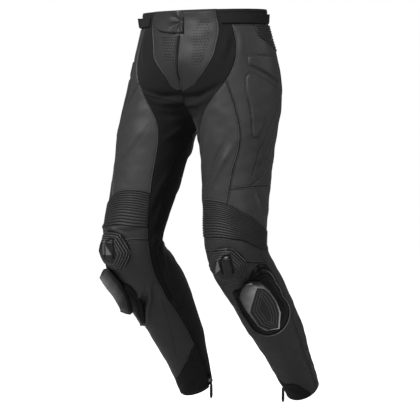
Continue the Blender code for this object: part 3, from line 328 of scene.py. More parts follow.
class Half:
    """One half of the trousers as a grid of points, each found on its ray by halving.

    Above the fork the surface is where a field is 0: the hips' oval, fading into the soft
    union -k ln(e^(-a/k) + e^(-b/k)) of the two thighs' ovals.
    """

    RAYS, ROWS_ABOVE, ROWS_BELOW, HALVINGS, REACH = 241, 60, 150, 32, 0.35

    def __init__(self, leg, other):
        self.leg, self.other = leg, other
        self.fork = self.fork_station()
        t = np.linspace(0.0, 1.0, self.ROWS_ABOVE)
        self.stations = np.concatenate([self.fork * (1.0 - (1.0 - t) ** 1.4),
                                        np.linspace(self.fork, 3.0, self.ROWS_BELOW)[1:]])
        self.closed = np.arange(len(self.stations)) >= self.ROWS_ABOVE
        self.points = self.cast()
        fade = (1.0 - smooth_step(self.stations / RISE_FADE))[:, None]
        back = np.clip(0.5 + self.points[..., 1] / WAIST_DEPTH, 0.0, 1.0)
        self.points[..., 2] += fade * (BACK_RISE * back + WAIST_TILT * self.points[..., 0])
        along = np.gradient(self.points, axis=1)
        joined = (self.points[:, 1] - self.points[:, -2]) / 2.0
        along[self.closed, 0] = along[self.closed, -1] = joined[self.closed]
        self.normals = unit(np.cross(np.gradient(self.points, axis=0), along) * self.leg.side)

    def field(self, stations):
        """Field function of the rows at these stations, with the frames that it uses."""
        centre, out, fore = ring_frames(self.leg, stations)
        height = centre[:, 2]
        search = np.linspace(-0.2, 2.2, 481)
        twin = np.interp(-height, -middle_line(self.other, search)[:, 2], search)
        centre2, out2, fore2 = ring_frames(self.other, twin)
        hips = through_rows(HIP_SECTIONS, height)
        own = through_rows(LEG_SECTIONS, stations)
        mate = through_rows(LEG_SECTIONS, twin)
        legs = smooth_step((BLEND_TOP - height) / (BLEND_TOP - BLEND_BOTTOM))
        soft = FORK_SOFTNESS * (1.0 - smooth_step((WEB_TOP - height) / WEB_LENGTH)) + 1e-3

        def value(p):
            def oval(c, x, f, section):
                d = p - c[:, None]
                return beyond((d * x[:, None]).sum(-1), (d * f[:, None]).sum(-1),
                              section[:, None])
            a = oval(centre, out, fore, own)
            b = oval(centre2, out2, fore2, mate)
            k = soft[:, None]
            pair = -k * np.logaddexp(-a / k, -b / k)
            hip = beyond(p[..., 0], -p[..., 1], hips[:, None])
            return hip + (pair - hip) * legs[:, None]

        return value, centre, out, fore, own

    def saddle(self, stations):
        """Least value of the field on the middle plane, and where it is."""
        value, centre = self.field(stations)[:2]
        y = np.linspace(-0.12, 0.12, 241)
        spot = np.zeros((len(stations), len(y), 3))
        spot[..., 1] = y
        spot[..., 2] = centre[:, 2:3]
        field = value(spot)
        return field.min(axis=1), y[field.argmin(axis=1)]

    def fork_station(self):
        """Station where the legs part: the field on the middle plane rises to 0."""
        low, high = 1.0, 1.5
        for _ in range(self.HALVINGS):
            mid = (low + high) / 2.0
            inside = self.saddle(np.array([mid]))[0][0] < 0.0
            low, high = (mid, high) if inside else (low, mid)
        return low

    def halve(self, value, origin, direction, reach):
        """Distance along each ray to where the field is 0."""
        near, far = np.zeros_like(reach), reach.copy()
        for _ in range(self.HALVINGS):
            mid = (near + far) / 2.0
            inside = value(origin + mid[..., None] * direction) < 0.0
            near, far = np.where(inside, mid, near), np.where(inside, far, mid)
        return near

    def cast(self):
        """Points of every row, with the bearings of the row's two ends."""
        v = self.stations
        value, centre, out, fore, own = self.field(v)
        middle = self.saddle(v)[1]
        origin = np.stack([np.zeros_like(v), middle, centre[:, 2]], axis=1)[:, None]
        ends = []
        for way in (-1.0, 1.0):
            far = self.halve(value, origin, np.array([0.0, way, 0.0]),
                             np.full((len(v), 1), 0.25))
            ends.append(middle + way * far[:, 0])
        front_y, back_y = ends
        fork = self.ROWS_ABOVE - 1
        front_y[fork] = back_y[fork] = middle[fork]

        def bearing(y):
            d = np.stack([-centre[:, 0], y - centre[:, 1], np.zeros_like(v)], axis=1)
            return np.arctan2((d * out).sum(-1), (d * fore).sum(-1))

        start, end = bearing(front_y), np.mod(bearing(back_y), 2.0 * np.pi)
        inseam = start[fork] + (-np.pi / 2 - start[fork]) * smooth_step((v - v[fork]) / 0.25)
        start = np.where(self.closed, inseam, start)
        end = np.where(self.closed, inseam + 2.0 * np.pi, end)
        end[fork] = start[fork] + 2.0 * np.pi
        self.start, self.end = np.degrees(start), np.degrees(end)

        turn = start[:, None] + (end - start)[:, None] * np.linspace(0.0, 1.0, self.RAYS)
        ray = np.sin(turn)[..., None] * out[:, None] + np.cos(turn)[..., None] * fore[:, None]
        depth = np.where(np.cos(turn) > 0.0, own[:, 1:2], own[:, 2:3])
        alone = 1.0 / np.hypot(np.sin(turn) / own[:, 0:1], np.cos(turn) / depth)
        inward = -ray[..., 0] * self.leg.side
        reach = np.minimum(self.REACH, np.where(
            inward > 1e-4, np.abs(centre[:, :1]) / np.maximum(inward, 1e-4), self.REACH))
        shared = self.halve(value, centre[:, None], ray, reach)
        own_part = smooth_step((v - FREE_FROM) / (FREE_AT - FREE_FROM))[:, None]
        points = centre[:, None] + (shared + (alone - shared) * own_part)[..., None] * ray
        for column, y in ((0, front_y), (-1, back_y)):
            seam = np.stack([np.zeros_like(v), y, centre[:, 2]], axis=1)
            points[~self.closed, column] = seam[~self.closed]
        return points

    def ends(self, station):
        """Bearings of the centre front or inseam, and of the centre back or inseam."""
        return (np.interp(station, self.stations, self.start),
                np.interp(station, self.stations, self.end))

    def at(self, station, bearing, lift=0.0):
        """Point at a height over each station and bearing, and the normal there.

        Both are worked out by straight lines between the points of the grid.
        """
        station, bearing = np.broadcast_arrays(
            np.asarray(station, dtype=float), np.asarray(bearing, dtype=float))
        row = np.interp(station, self.stations, np.arange(len(self.stations)))
        i = np.minimum(row.astype(int), len(self.stations) - 2)
        start, end = self.ends(station)
        turn = (bearing - start) / (end - start)
        below = station > self.fork
        turn = np.where(below & ((turn < 0) | (turn > 1)), np.mod(turn, 1.0), turn)
        column = np.clip(turn, 0.0, 1.0) * (self.RAYS - 1)
        j = np.minimum(column.astype(int), self.RAYS - 2)
        a, b = (row - i)[..., None], (column - j)[..., None]

        def mixed(grid):
            return ((grid[i, j] * (1 - b) + grid[i, j + 1] * b) * (1 - a)
                    + (grid[i + 1, j] * (1 - b) + grid[i + 1, j + 1] * b) * a)

        normal = unit(mixed(self.normals))
        return mixed(self.points) + normal * np.asarray(lift)[..., None], normal


HALVES = (Half(LEGS[0], LEGS[1]), Half(LEGS[1], LEGS[0]))

# ---------------------------------------------------------------- folds, creases and pads

# Metres of cloth for each unit of station: less over the hips than down the leg.
LENGTH_PER_STATION = ((0.9, 1.3), (0.15, 0.47))
SCALE_STATION = np.linspace(0.0, 3.0, 3001)
SCALE_LENGTH = np.cumsum(np.interp(SCALE_STATION, *LENGTH_PER_STATION)) * 0.001


def unrolled(station, bearing):
    """Metres across and down an unrolled leg: turn times radius, and length from the waist."""
    radius = np.interp(station, (0.0, 1.0, 2.0, 3.0), (0.115, 0.110, 0.076, 0.045))
    return (np.radians(np.asarray(bearing, dtype=float)) * radius,
            np.interp(station, SCALE_STATION, SCALE_LENGTH))


def from_line(x, y, start, end):
    """Distance from each place to a straight line, and how far along it (0 to 1)."""
    dx, dy = end[0] - start[0], end[1] - start[1]
    share = ((x - start[0]) * dx + (y - start[1]) * dy) / (dx * dx + dy * dy)
    share = np.clip(share, 0.0, 1.0)
    return np.hypot(x - start[0] - share * dx, y - start[1] - share * dy), share


def path_distance(path, station, bearing):
    """Distance to a broken line in the unrolled leg, and how far along it (0 to 1)."""
    x, y = unrolled(station, bearing)
    corners = np.transpose(unrolled(*np.transpose(path)))
    steps = np.linalg.norm(np.diff(corners, axis=0), axis=1)
    before = np.concatenate([[0.0], np.cumsum(steps)])
    best, share = np.full(x.shape, 1e3), np.zeros(x.shape)
    for k, step in enumerate(steps):
        far, along = from_line(x, y, corners[k], corners[k + 1])
        share = np.where(far < best, (before[k] + along * step) / before[-1], share)
        best = np.minimum(best, far)
    return best, share


def rounded_path(path, points):
    """The same line through more places, by the cubic of through_rows over its length."""
    x, y = unrolled(*np.transpose(path))
    length = np.concatenate([[0.0], np.cumsum(np.hypot(np.diff(x), np.diff(y)))])
    table = [(s, *p) for s, p in zip(length, path)]
    return through_rows(table, np.linspace(0.0, length[-1], points))


def inside_pad(pad, station, bearing):
    """Whether each place lies in a closed outline: an odd count of crossed sides."""
    x, y = unrolled(station, bearing)
    px, py = unrolled(*np.transpose(pad))
    inside = np.zeros(x.shape, dtype=bool)
    for k in range(len(pad)):
        x0, y0, x1, y1 = px[k - 1], py[k - 1], px[k], py[k]
        crosses = (y0 > y) != (y1 > y)
        inside ^= crosses & (x < (x1 - x0) * (y - y0) / (y1 - y0 + 1e-12) + x0)
    return inside


def fold_lift(station, bearing):
    """Height of the straight folds: each a Gaussian ridge across, fading to its two ends."""
    total = np.zeros(np.broadcast(station, bearing).shape)
    for at, turn, heading, length, width, height in FOLDS:
        down = (station - at) * np.interp(station, *LENGTH_PER_STATION)
        radius = np.interp(at, (1.0, 2.0, 3.0), (0.110, 0.075, 0.045))
        apart = (np.asarray(bearing) - turn + 180.0) % 360.0 - 180.0
        across = np.radians(apart) * radius
        cos, sin = np.cos(np.radians(heading)), np.sin(np.radians(heading))
        along, aside = down * cos + across * sin, across * cos - down * sin
        ends = smooth_step(1.0 - np.abs(along) / (length / 2.0))
        total += height * ridge(aside, 0.0, width) * ends
    return total


def crease_lift(leg, station, bearing):
    """Height of the creases: Gaussian across, a sine hump along, so that the ends fade."""
    total = np.zeros(np.broadcast(station, bearing).shape)
    for which, width, height, *path in CREASES:
        if which not in ("both", leg.name):
            continue
        for shift in (-360.0, 0.0, 360.0):
            turned = np.asarray(bearing) + shift
            low, high = min(p[1] for p in path) - 40, max(p[1] for p in path) + 40
            if turned.max() < low or turned.min() > high:
                continue
            far, share = path_distance(path, station, turned)
            hump = np.sin(np.pi * np.clip(share, 0.02, 0.98)) ** 0.7
            total += CREASE_STRENGTH * height * hump * ridge(far, 0.0, width)
    return total


# Waves of the leather: slant in degrees, pitch, height.
WAVES = ((20, 0.083, 0.00036), (75, 0.061, 0.00032), (-40, 0.047, 0.00026),
         (55, 0.034, 0.00018), (-75, 0.029, 0.00012))


def waviness(leg, station, bearing):
    """Low uneven waves of the leather: a sum of slanted sines, each under a millimetre."""
    share = 0.5 if leg.name == "right" else 1.0     # the right leg is smoother
    x, y = unrolled(station, bearing)
    total = np.zeros(np.broadcast(station, bearing).shape)
    for k, (angle, pitch, height) in enumerate(WAVES):
        a = np.radians(angle + 9 * leg.side)
        total += height * np.sin((x * np.cos(a) + y * np.sin(a)) * 2.0 * np.pi / pitch + 1.7 * k)
    return total * share


def pad_lift(leg, station, bearing):
    """Height of the hip pads: a plateau with a soft edge and a pressed line round it."""
    total = np.zeros(np.broadcast(station, bearing).shape)
    for pad in PADS:
        far = path_distance([*pad, pad[0]], station, bearing)[0]
        signed = np.where(inside_pad(pad, station, bearing), far, -far)
        total += PAD_HEIGHT[leg.name] * smooth_step(0.5 + signed / (2.0 * PAD_EDGE))
        total -= PAD_GROOVE * ridge(signed, -PAD_EDGE, PAD_GROOVE_WIDTH)
    return total


def groove_lift(station, bearing):
    """Depth of the grooves: a Gaussian across, of even depth along."""
    total = np.zeros(np.broadcast(station, bearing).shape)
    for width, depth, _, *path in GROOVES:
        far = path_distance(rounded_path(path, 16), station, bearing)[0]
        total -= depth * ridge(far, 0.0, width)
    return total


# ---------------------------------------------------------------- meshes


def mesh_object(name, points, faces, uv=None, fields=None, smooth=True):
    """A mesh from points, faces, and any UV and named values for each point."""
    mesh = bpy.data.meshes.new(name)
    mesh.from_pydata(np.asarray(points).tolist(), [], faces)
    if uv is not None:
        layer = mesh.uv_layers.new(name="cut")
        corner = np.empty(len(mesh.loops), dtype=np.int32)
        mesh.loops.foreach_get("vertex_index", corner)
        layer.data.foreach_set("uv", np.asarray(uv, dtype=np.float32)[corner].ravel())
    for key, values in (fields or {}).items():
        attribute = mesh.attributes.new(key, "FLOAT", "POINT")
        attribute.data.foreach_set("value", np.asarray(values, dtype=np.float32).ravel())
    if smooth:
        mesh.shade_smooth()
    mesh.update()
    made = bpy.data.objects.new(name, mesh)
    bpy.context.collection.objects.link(made)
    return made


def grid_faces(rows, columns):
    """Quads of a grid of points."""
    index = np.arange(rows * columns).reshape(rows, columns)
    return np.stack([index[:-1, :-1], index[:-1, 1:], index[1:, 1:], index[1:, :-1]],
                    -1).reshape(-1, 4)


def shell(name, outer, inner, normals, uv, fields=None):
    """A thin closed shell: an outer and an inner grid, joined round the rim."""
    rows, columns = outer.shape[:2]
    count = rows * columns
    points = np.concatenate([outer.reshape(-1, 3), inner.reshape(-1, 3)])
    quads = grid_faces(rows, columns)
    a, b, c = (points[quads[:, k]] for k in range(3))
    inward = (np.cross(b - a, c - a) * normals.reshape(-1, 3)[quads[:, 0]]).sum() < 0.0
    index = np.arange(count).reshape(rows, columns)
    rim = np.concatenate([index[0, :-1], index[:-1, -1], index[-1, :0:-1], index[:0:-1, 0]])
    after = np.roll(rim, -1)
    wall = np.stack([rim, rim + count, after + count, after], axis=1)
    faces = np.concatenate([quads, quads[:, ::-1] + count, wall])[:, ::-1 if inward else 1]
    doubled = {k: np.concatenate([v.ravel(), 0.0 * v.ravel()]) for k, v in (fields or {}).items()}
    made = mesh_object(name, points, faces.tolist(), np.tile(uv.reshape(-1, 2), (2, 1)), doubled)
    made.data.set_sharp_from_angle(angle=np.radians(60.0))
    return made


def shares(length, spacing, edges=(0.0, 0.0007, 0.0016, 0.0026, 0.0035, 0.0045, 0.006, 0.009)):
    """Places from 0 to 1 across a panel: close together near both edges, then even."""
    edge = np.array(edges)
    if length < 3.0 * edge[-1]:
        return np.linspace(0.0, 1.0, max(3, int(length / spacing) + 2))
    count = max(2, int(np.ceil((length - 2.0 * edge[-1]) / spacing)) + 1)
    middle = np.linspace(edge[-1], length - edge[-1], count)
    return np.concatenate([edge[:-1], middle, length - edge[-2::-1]]) / length


EDGE_ROUNDS = 14                # steps in which a grid's end rows come to lie on their edge


def patch(left, right, top, bottom, down, across):
    """Stations and bearings of a panel's grid, between four edges, at the given shares."""
    def on_edge(edge, station):
        for _ in range(EDGE_ROUNDS):
            bearing = left(station) + (right(station) - left(station)) * across
            station = 0.5 * station + 0.5 * edge(bearing)
        return station

    middle = np.full(len(across), 0.5 * (top(0.0) + bottom(0.0)))
    upper, lower = (np.interp(on_edge(e, middle), SCALE_STATION, SCALE_LENGTH)
                    for e in (top, bottom))
    station = np.interp(upper + (lower - upper) * down[:, None], SCALE_LENGTH, SCALE_STATION)
    edge = left(station)
    return station, edge + (right(station) - edge) * across


def level(station):
    """A straight edge round the garment, as a function of bearing."""
    return lambda bearing: np.full(np.shape(bearing), float(station))


def upright(bearing):
    """A straight edge down the garment, as a function of station."""
    return lambda station: np.full(np.shape(station), float(bearing))


def arcs(points):
    """Length along each row and along each column of a grid of points."""
    across = np.linalg.norm(np.diff(points, axis=1), axis=2)
    down = np.linalg.norm(np.diff(points, axis=0), axis=2)
    return (np.pad(np.cumsum(across, axis=1), ((0, 0), (1, 0))),
            np.pad(np.cumsum(down, axis=0), ((1, 0), (0, 0))))


def inset(grid, distance):
    """Draw a grid's edges in by a distance, along the grid."""
    moved = grid.copy()
    for new, old in ((moved.swapaxes(0, 1), grid.swapaxes(0, 1)), (moved, grid)):
        for edge, beside in ((0, 1), (-1, -2)):
            step = old[beside] - old[edge]
            size = np.linalg.norm(step, axis=1)[:, None]
            new[edge] += step / size * np.minimum(distance, 0.4 * size)
    return moved


# Joins without a seam's dip, as edges of a panel: the stretch runs on over the inner thigh.
PLAIN_JOINS, PLAIN_REACH = {("front_stretch", "left"): "b", ("inner_leg", "left"): "t"}, 0.02


class Panel(NamedTuple):
    """Cut of one flat panel: its four seams, grid spacing, finish and the stitched edges."""
    name: str
    left: object
    right: object
    top: object
    bottom: object
    spacing: float
    finish: str
    stitched: str


THREADS = {"left": [], "right": []}     # lines of points and normals that stitching follows


def seams(half):
    """The seams of one half, as functions of station or of bearing."""
    stretch, front, middle = curve(STRETCH_SEAM), curve(THIGH_SEAM), curve(SHIELD_SEAM)
    yoke, side, shin = curve(YOKE_SEAM), curve(SIDE_SEAM), curve(SHIN_SEAM)
    turns = curve(half.leg.seam_turns[1])

    def thigh(station):
        return front(station) + half.leg.seam_turns[0] * smooth_step((station - 0.99) / 0.2)

    def shield(station):
        return middle(station) + turns(station)

    def zip_share(station):
        return ZIP_HALF_WIDTH * smooth_step((station - ZIP_TOP) / ZIP_SPREAD + 1.0)

    def zip_back(station):
        """The inseam, then a straight slant to the back edge of the zip."""
        inseam = half.ends(station)[0]
        slant = np.clip((station - GODET_TOP) / (ZIP_TOP - GODET_TOP), 0.0, 1.0)
        return inseam + (stretch(station) - zip_share(station) - inseam) * slant

    return dict(
        centre_front=lambda v: half.ends(v)[0] + FLY_GAP * smooth_step((v - 0.42) / 0.06)
        * smooth_step((1.01 - v) / 0.05),
        centre_back=lambda v: half.ends(v)[1],
        shield=shield, stretch=stretch, thigh=thigh, yoke=yoke, side=side, shin=shin,
        tongue=lambda v: np.where(v < SHIELD_SEAM[-1][0], np.maximum(shield(v), half.ends(v)[0]),
                                  half.ends(v)[0]),
        hip_front=lambda v: np.maximum(stretch(v), thigh(v)),
        hip_back=lambda v: np.where(v < YOKE_BOTTOM, yoke(v), side(v)),
        shin_front=lambda v: stretch(v) + zip_share(v),
        zip_back=zip_back,
        calf_inner=lambda v: 360.0 + zip_back(v),
    )


def flat_panels(half):
    """The flat-cut panels of one half."""
    s = seams(half)
    cuffs, hem = level(3.0), curve(HEM_SEAM[half.leg.name])
    return (
        Panel("front_shield", s["centre_front"], s["tongue"], level(0.0),
              level(SHIELD_SEAM[-1][0]), 0.0030, "leather", "lrt"),
        Panel("front_stretch", s["tongue"], s["stretch"], level(BAND_BOTTOM),
              curve(FORK_CREASE), 0.0035, "stretch", ""),
        Panel("hip_side", s["hip_front"], s["hip_back"], level(BAND_BOTTOM),
              curve(THIGH_CROSS_SEAM), 0.0022 if half.leg.name == "left" else 0.0028, "leather",
              "lb"),
        Panel("thigh_front", s["stretch"], s["thigh"], level(0.992), curve(RIBS_TOP), 0.0030,
              "leather", "lrb"),
        Panel("thigh_side", s["thigh"], s["side"], curve(THIGH_CROSS_SEAM), curve(RIBS_TOP),
              0.0026, "leather", "ltb"),
        # The right leg's inner leg takes the stretch fabric darkened as painted shade.
        Panel("inner_leg", s["zip_back"], s["shin_front"], curve(FORK_CREASE), level(ZIP_TOP),
              0.0050, "stretch" if half.leg.name == "left" else "inner", ""),
        Panel("seat", s["side"], s["centre_back"], level(YOKE_BOTTOM), curve(SEAT_BOTTOM),
              0.0043, "leather", "lrtb"),
        # The back of the thigh takes the stretch fabric darkened as painted shade.
        Panel("thigh_back", s["side"], s["centre_back"], curve(SEAT_BOTTOM),
              curve(RIBS_BOTTOM), 0.0043, "inner", ""),
        Panel("knee_band", s["stretch"], s["shin"], curve(RIBS_BOTTOM), curve(KNEE_SEAM),
              0.0026, "leather", "tb"),
        Panel("shin_front", s["shin_front"], s["shin"], curve(KNEE_SEAM), hem,
              0.0033, "leather", "lrtb"),
        Panel("calf_outer", s["shin"], upright(180.0), curve(RIBS_BOTTOM), cuffs, 0.0038,
              "leather", "lrtb"),
        Panel("calf_inner", upright(180.0), s["calf_inner"], level(2.010), cuffs, 0.0044,
              "stretch", ""),
        Panel("hem_gusset", s["shin_front"], upright(HEM_GUSSET_END), hem, cuffs,
              0.0032, "stretch", "b"),
    )


SEAM_ROLL, SEAM_ROLL_WIDTH = 0.0014, 0.0015
# Beside a leather seam: the place and width of its raised lip, of the painted highlight along
# the top of that lip and of the sewn line, all from the panel's edge, and their height.
SEWN_LIP, LIP_HIGHLIGHT, SEWN_LINE, SEWN_HEIGHT = (0.0023, 0.0010), (0.0024, 0.0009), (0.0042, 0.0009), 0.0007
FLY_GAP = 0.7                   # degrees that each edge stands back from the fly
GAP = 0.0001                    # each panel's share of a seam's gap
ALLOWANCE = 0.0007              # how far a panel's inner side runs on behind the seam
# Outline of the punched field of each front shield: station, bearing.
PUNCHED = {
    "left": ((0.181, -12), (0.181, 1.4), (0.598, -2.3), (0.842, -13), (0.842, -22), (0.41, -20)),
    "right": ((0.443, -12), (0.416, -28), (0.83, -34), (0.782, -23)),
}
# How far from its edges a panel is darkened with painted shade in the seam's gap; further where the seam
# gapes more than elsewhere.
GAPING, CLOSED = {"shin_front": 0.0026, "calf_outer": 0.0026}, 0.0016
# How much a painted highlight lightens the leather of some panels, and how that grows from bearing 50 to
# 90.
PANEL_HIGHLIGHT = {"hip_side": 0.75, "thigh_front": 0.95, "thigh_side": 1.0}
HIGHLIGHT_FRONT, HIGHLIGHT_GAIN, HIGHLIGHT_MOST = 0.85, 0.75, 1.6
# Width of the painted shade in the pressed grooves and pad outlines.
GROOVE_SHADE_WIDTH = 0.0015
# Lip beside the fly: height, place and width of its ridge, then of the groove behind it.
FLY_RIDGE, FLY_GROOVE = (0.0018, 0.0042, 0.0022), (0.0008, 0.0085, 0.0012)
FLARE_HEIGHT, FLARE_STATION, FLARE_LENGTH, FLARE_WIDTH = 0.0065, 2.925, 0.022, 0.011


def groove_shade(name, station, bearing):
    """How dark the painted shade in pressed and sewn lines is: a Gaussian across each groove and pad
    outline.
    """
    dark = np.zeros(station.shape)
    paths = [rounded_path(path, 16) for _, _, _, *path in GROOVES]
    if name == "hip_side":
        paths += [[*pad, pad[0]] for pad in PADS]
    for path in paths:
        far = path_distance(path, station, bearing)[0]
        dark = np.maximum(dark, ridge(far, 0.0, GROOVE_SHADE_WIDTH))
    return dark


def fly_lip(station, run):
    """A folded lip beside the fly: a rounded ridge a few millimetres from the edge."""
    along = smooth_step((station - 0.42) / 0.05) * smooth_step((1.00 - station) / 0.06)
    return along * (FLY_RIDGE[0] * ridge(run, *FLY_RIDGE[1:])
                    - FLY_GROOVE[0] * ridge(run, *FLY_GROOVE[1:]))


def hem_flare(station, run):
    """The corner beside the hem zip, bent outwards: a hump along and across the edge."""
    return (FLARE_HEIGHT * ridge(station, FLARE_STATION, FLARE_LENGTH)
            * ridge(run, 0.0, FLARE_WIDTH))


def cloth(half, cut, wall, rib_lift=None, sizes=None):
    """One panel as a thin shell.

    Its height is folds + creases + waves + embossing - the seam's roll, e^(-(d/w)^2) at a
    distance d from the nearest edge, plus any ribs.
    """
    leg, edges = half.leg, (cut.left, cut.right, cut.top, cut.bottom)
    if sizes is None:
        coarse = np.linspace(0.0, 1.0, 9)
        across, down = arcs(half.at(*patch(*edges, coarse, coarse))[0])
        sizes = [shares(length.max(), cut.spacing) for length in (down, across)]
    station, bearing = patch(*edges, *sizes)
    bare = half.at(station, bearing)[0]
    run, drop = arcs(bare)
    edge = np.minimum.reduce([run, run[:, -1:] - run, drop, drop[-1:] - drop])
    for side in PLAIN_JOINS.get((cut.name, leg.name), ""):
        far = drop if side == "t" else drop[-1:] - drop
        edge = edge + PLAIN_REACH * smooth_step(1.0 - far / PLAIN_REACH)
    roll = SEAM_ROLL * ridge(edge, 0.0, SEAM_ROLL_WIDTH)
    folds = fold_lift(station, bearing) + crease_lift(leg, station, bearing)
    if cut.name == "calf_inner":
        folds = folds + hem_flare(station, run[:, -1:] - run)
    relief = folds + waviness(leg, station, bearing) - roll
    # Painted shade along the panel's edges, in the seam's gap.
    dark = ridge(edge, 0.0, GAPING.get(cut.name, CLOSED))
    # Painted highlight on the thigh and hip panels, growing towards the outer side.
    highlight = PANEL_HIGHLIGHT.get(cut.name, 0.0) * (
        HIGHLIGHT_FRONT + HIGHLIGHT_GAIN * smooth_step((bearing - 50.0) / 40.0))
    if rib_lift is not None:
        relief = relief + rib_lift(sizes[0], sizes[1], bearing)
    elif cut.finish == "leather":
        relief = relief + groove_lift(station, bearing) + SEWN_HEIGHT * (
            ridge(edge, *SEWN_LIP) - ridge(edge, *SEWN_LINE))
        # Painted shade in the pressed grooves, the pad outlines and the sewn line.
        dark = np.maximum(dark, 0.7 * groove_shade(cut.name, station, bearing))
        dark = np.maximum(dark, 0.5 * ridge(edge, *SEWN_LINE))
        # Painted highlight along the top of the seam's lip.
        highlight = np.minimum(highlight + 0.5 * ridge(edge, *LIP_HIGHLIGHT), HIGHLIGHT_MOST)
    fields = {"seam": dark, "highlight": highlight}
    if cut.name == "hip_side":
        relief = relief + pad_lift(leg, station, bearing)
    if cut.name == "thigh_front":
        fields["fine_punched"] = np.ones(station.shape)
    if cut.name == "front_shield":
        relief = relief + fly_lip(station, run)
        fields["punched"] = inside_pad(PUNCHED[leg.name], station, bearing).astype(float)
    outer, normals = half.at(station, bearing, relief)
    inner = half.at(station, bearing, folds - roll * 0.3 - wall)[0]
    piece = shell(f"{cut.name}_{leg.name}_cloth", inset(outer, GAP), inset(inner, -ALLOWANCE),
                  normals, np.stack([run, drop], axis=-1), fields)
    for side in cut.stitched:
        line = {"l": (slice(None), 4), "r": (slice(None), -5), "t": (4, slice(None)),
                "b": (-5, slice(None))}[side]
        THREADS[leg.name].append((outer[line][4:-4], normals[line][4:-4]))
    return piece


# ---------------------------------------------------------------- materials


def node(tree, kind, **values):
    """Add a node and set its properties; an input, by name or i and number, also takes a link."""
    made = tree.nodes.new(kind)
    for key, value in values.items():
        if hasattr(made, key):
            setattr(made, key, value)
            continue
        socket = made.inputs[int(key[1:]) if key[1:].isdigit() else key.replace("_", " ")]
        if isinstance(value, bpy.types.NodeSocket):
            tree.links.new(value, socket)
        else:
            socket.default_value = value
    return made


def maths(tree, operation, *values):
    """Result of an arithmetic node on numbers and sockets."""
    inputs = {f"i{k}": value for k, value in enumerate(values)}
    return node(tree, "ShaderNodeMath", operation=operation, **inputs).outputs[0]


def group(name, inputs, outputs, build):
    """A shader node group with named numbers in and out, built once; build gives the outputs."""
    tree = bpy.data.node_groups.get(name)
    if tree is None:
        tree = bpy.data.node_groups.new(name, "ShaderNodeTree")
        for way, labels in (("INPUT", inputs), ("OUTPUT", outputs)):
            for label in labels:
                tree.interface.new_socket(label, in_out=way, socket_type="NodeSocketFloat")
        given, out = tree.nodes.new("NodeGroupInput"), tree.nodes.new("NodeGroupOutput")
        for label, socket in zip(outputs, build(tree, *(given.outputs[k] for k in inputs))):
            tree.links.new(socket, out.inputs[label])
    return tree


def leather_grain():
    """Grain of leather: pebbles from cell edges, broken by noise, with pores between."""
    def build(tree, scale):
        place = node(tree, "ShaderNodeTexCoord").outputs["Object"]
        bend = node(tree, "ShaderNodeTexNoise", Vector=place, Scale=220.0, Detail=2.0)
        bent = node(tree, "ShaderNodeMix", data_type="VECTOR", i0=0.0012, i4=place,
                    i5=bend.outputs["Color"]).outputs[1]
        cells = node(tree, "ShaderNodeTexVoronoi", feature="DISTANCE_TO_EDGE", Vector=bent,
                     Scale=scale)
        fine = node(tree, "ShaderNodeTexNoise", Vector=place, Detail=3.0, Roughness=0.6,
                    Scale=maths(tree, "MULTIPLY", scale, 3.1))
        wide = node(tree, "ShaderNodeTexNoise", Vector=place, Scale=14.0, Detail=3.0)
        edge = node(tree, "ShaderNodeMapRange", i0=cells.outputs["Distance"], i2=0.32)
        height = maths(tree, "MULTIPLY_ADD", fine.outputs["Fac"], 0.35, edge.outputs[0])
        return height, wide.outputs["Fac"]
    return group("Leather grain", ("Scale",), ("Height", "Tone"), build)


def punched_holes():
    """Rows of small round holes on the piece's own cut, every other row shifted by half."""
    def build(tree, pitch, radius):
        uv = node(tree, "ShaderNodeUVMap", uv_map="cut").outputs[0]
        split = node(tree, "ShaderNodeSeparateXYZ", Vector=uv)
        down = maths(tree, "DIVIDE", split.outputs[1], pitch)
        row = maths(tree, "FLOOR", down)
        odd = maths(tree, "MULTIPLY", maths(tree, "MODULO", row, 2.0), 0.5)
        across = maths(tree, "ADD", maths(tree, "DIVIDE", split.outputs[0], pitch), odd)
        squares = []
        for value in (across, down):
            off = maths(tree, "SUBTRACT", maths(tree, "FRACT", value), 0.5)
            squares.append(maths(tree, "MULTIPLY", off, off))
        far = maths(tree, "SQRT", maths(tree, "ADD", *squares))
        hole = node(tree, "ShaderNodeMapRange", interpolation_type="SMOOTHSTEP", i0=far,
                    i1=maths(tree, "ADD", radius, 0.07), i2=maths(tree, "SUBTRACT", radius, 0.07))
        return hole.outputs[0],
    return group("Punched holes", ("Pitch", "Radius"), ("Hole",), build)


def cloth_weave():
    """A fine knit: two crossed waves on the piece's own cut, with fuzz from noise."""
    def build(tree, scale):
        uv = node(tree, "ShaderNodeUVMap", uv_map="cut").outputs[0]
        fuzz = node(tree, "ShaderNodeTexNoise", Vector=uv, Scale=900.0, Detail=2.0)
        waves = [node(tree, "ShaderNodeTexWave", bands_direction=direction, Vector=uv,
                      Scale=scale).outputs["Fac"] for direction in ("X", "Y")]
        height = maths(tree, "MULTIPLY_ADD", fuzz.outputs["Fac"], 0.4,
                       maths(tree, "MAXIMUM", *waves))
        return height, fuzz.outputs["Fac"]
    return group("Fine knit", ("Scale",), ("Height", "Tone"), build)


def start_material(name, roughness, specular=0.5, sheen=0.0, metallic=0.0):
    """A new material, its shader and its tree; None in place of the tree if it is made."""
    made = bpy.data.materials.get(name)
    if made is not None:
        return made, None, None
    made = bpy.data.materials.new(name)
    made.use_nodes = True
    shader = made.node_tree.nodes["Principled BSDF"]
    for key, value in (("Roughness", roughness), ("Specular IOR Level", specular),
                       ("Sheen Weight", sheen), ("Metallic", metallic)):
        shader.inputs[key].default_value = value
    return made, shader, made.node_tree


def place_group(tree, built, **values):
    """Put a node group into a material with its own values; the outputs by name."""
    made = tree.nodes.new("ShaderNodeGroup")
    made.node_tree = built
    for key, value in values.items():
        made.inputs[key].default_value = value
    return made.outputs


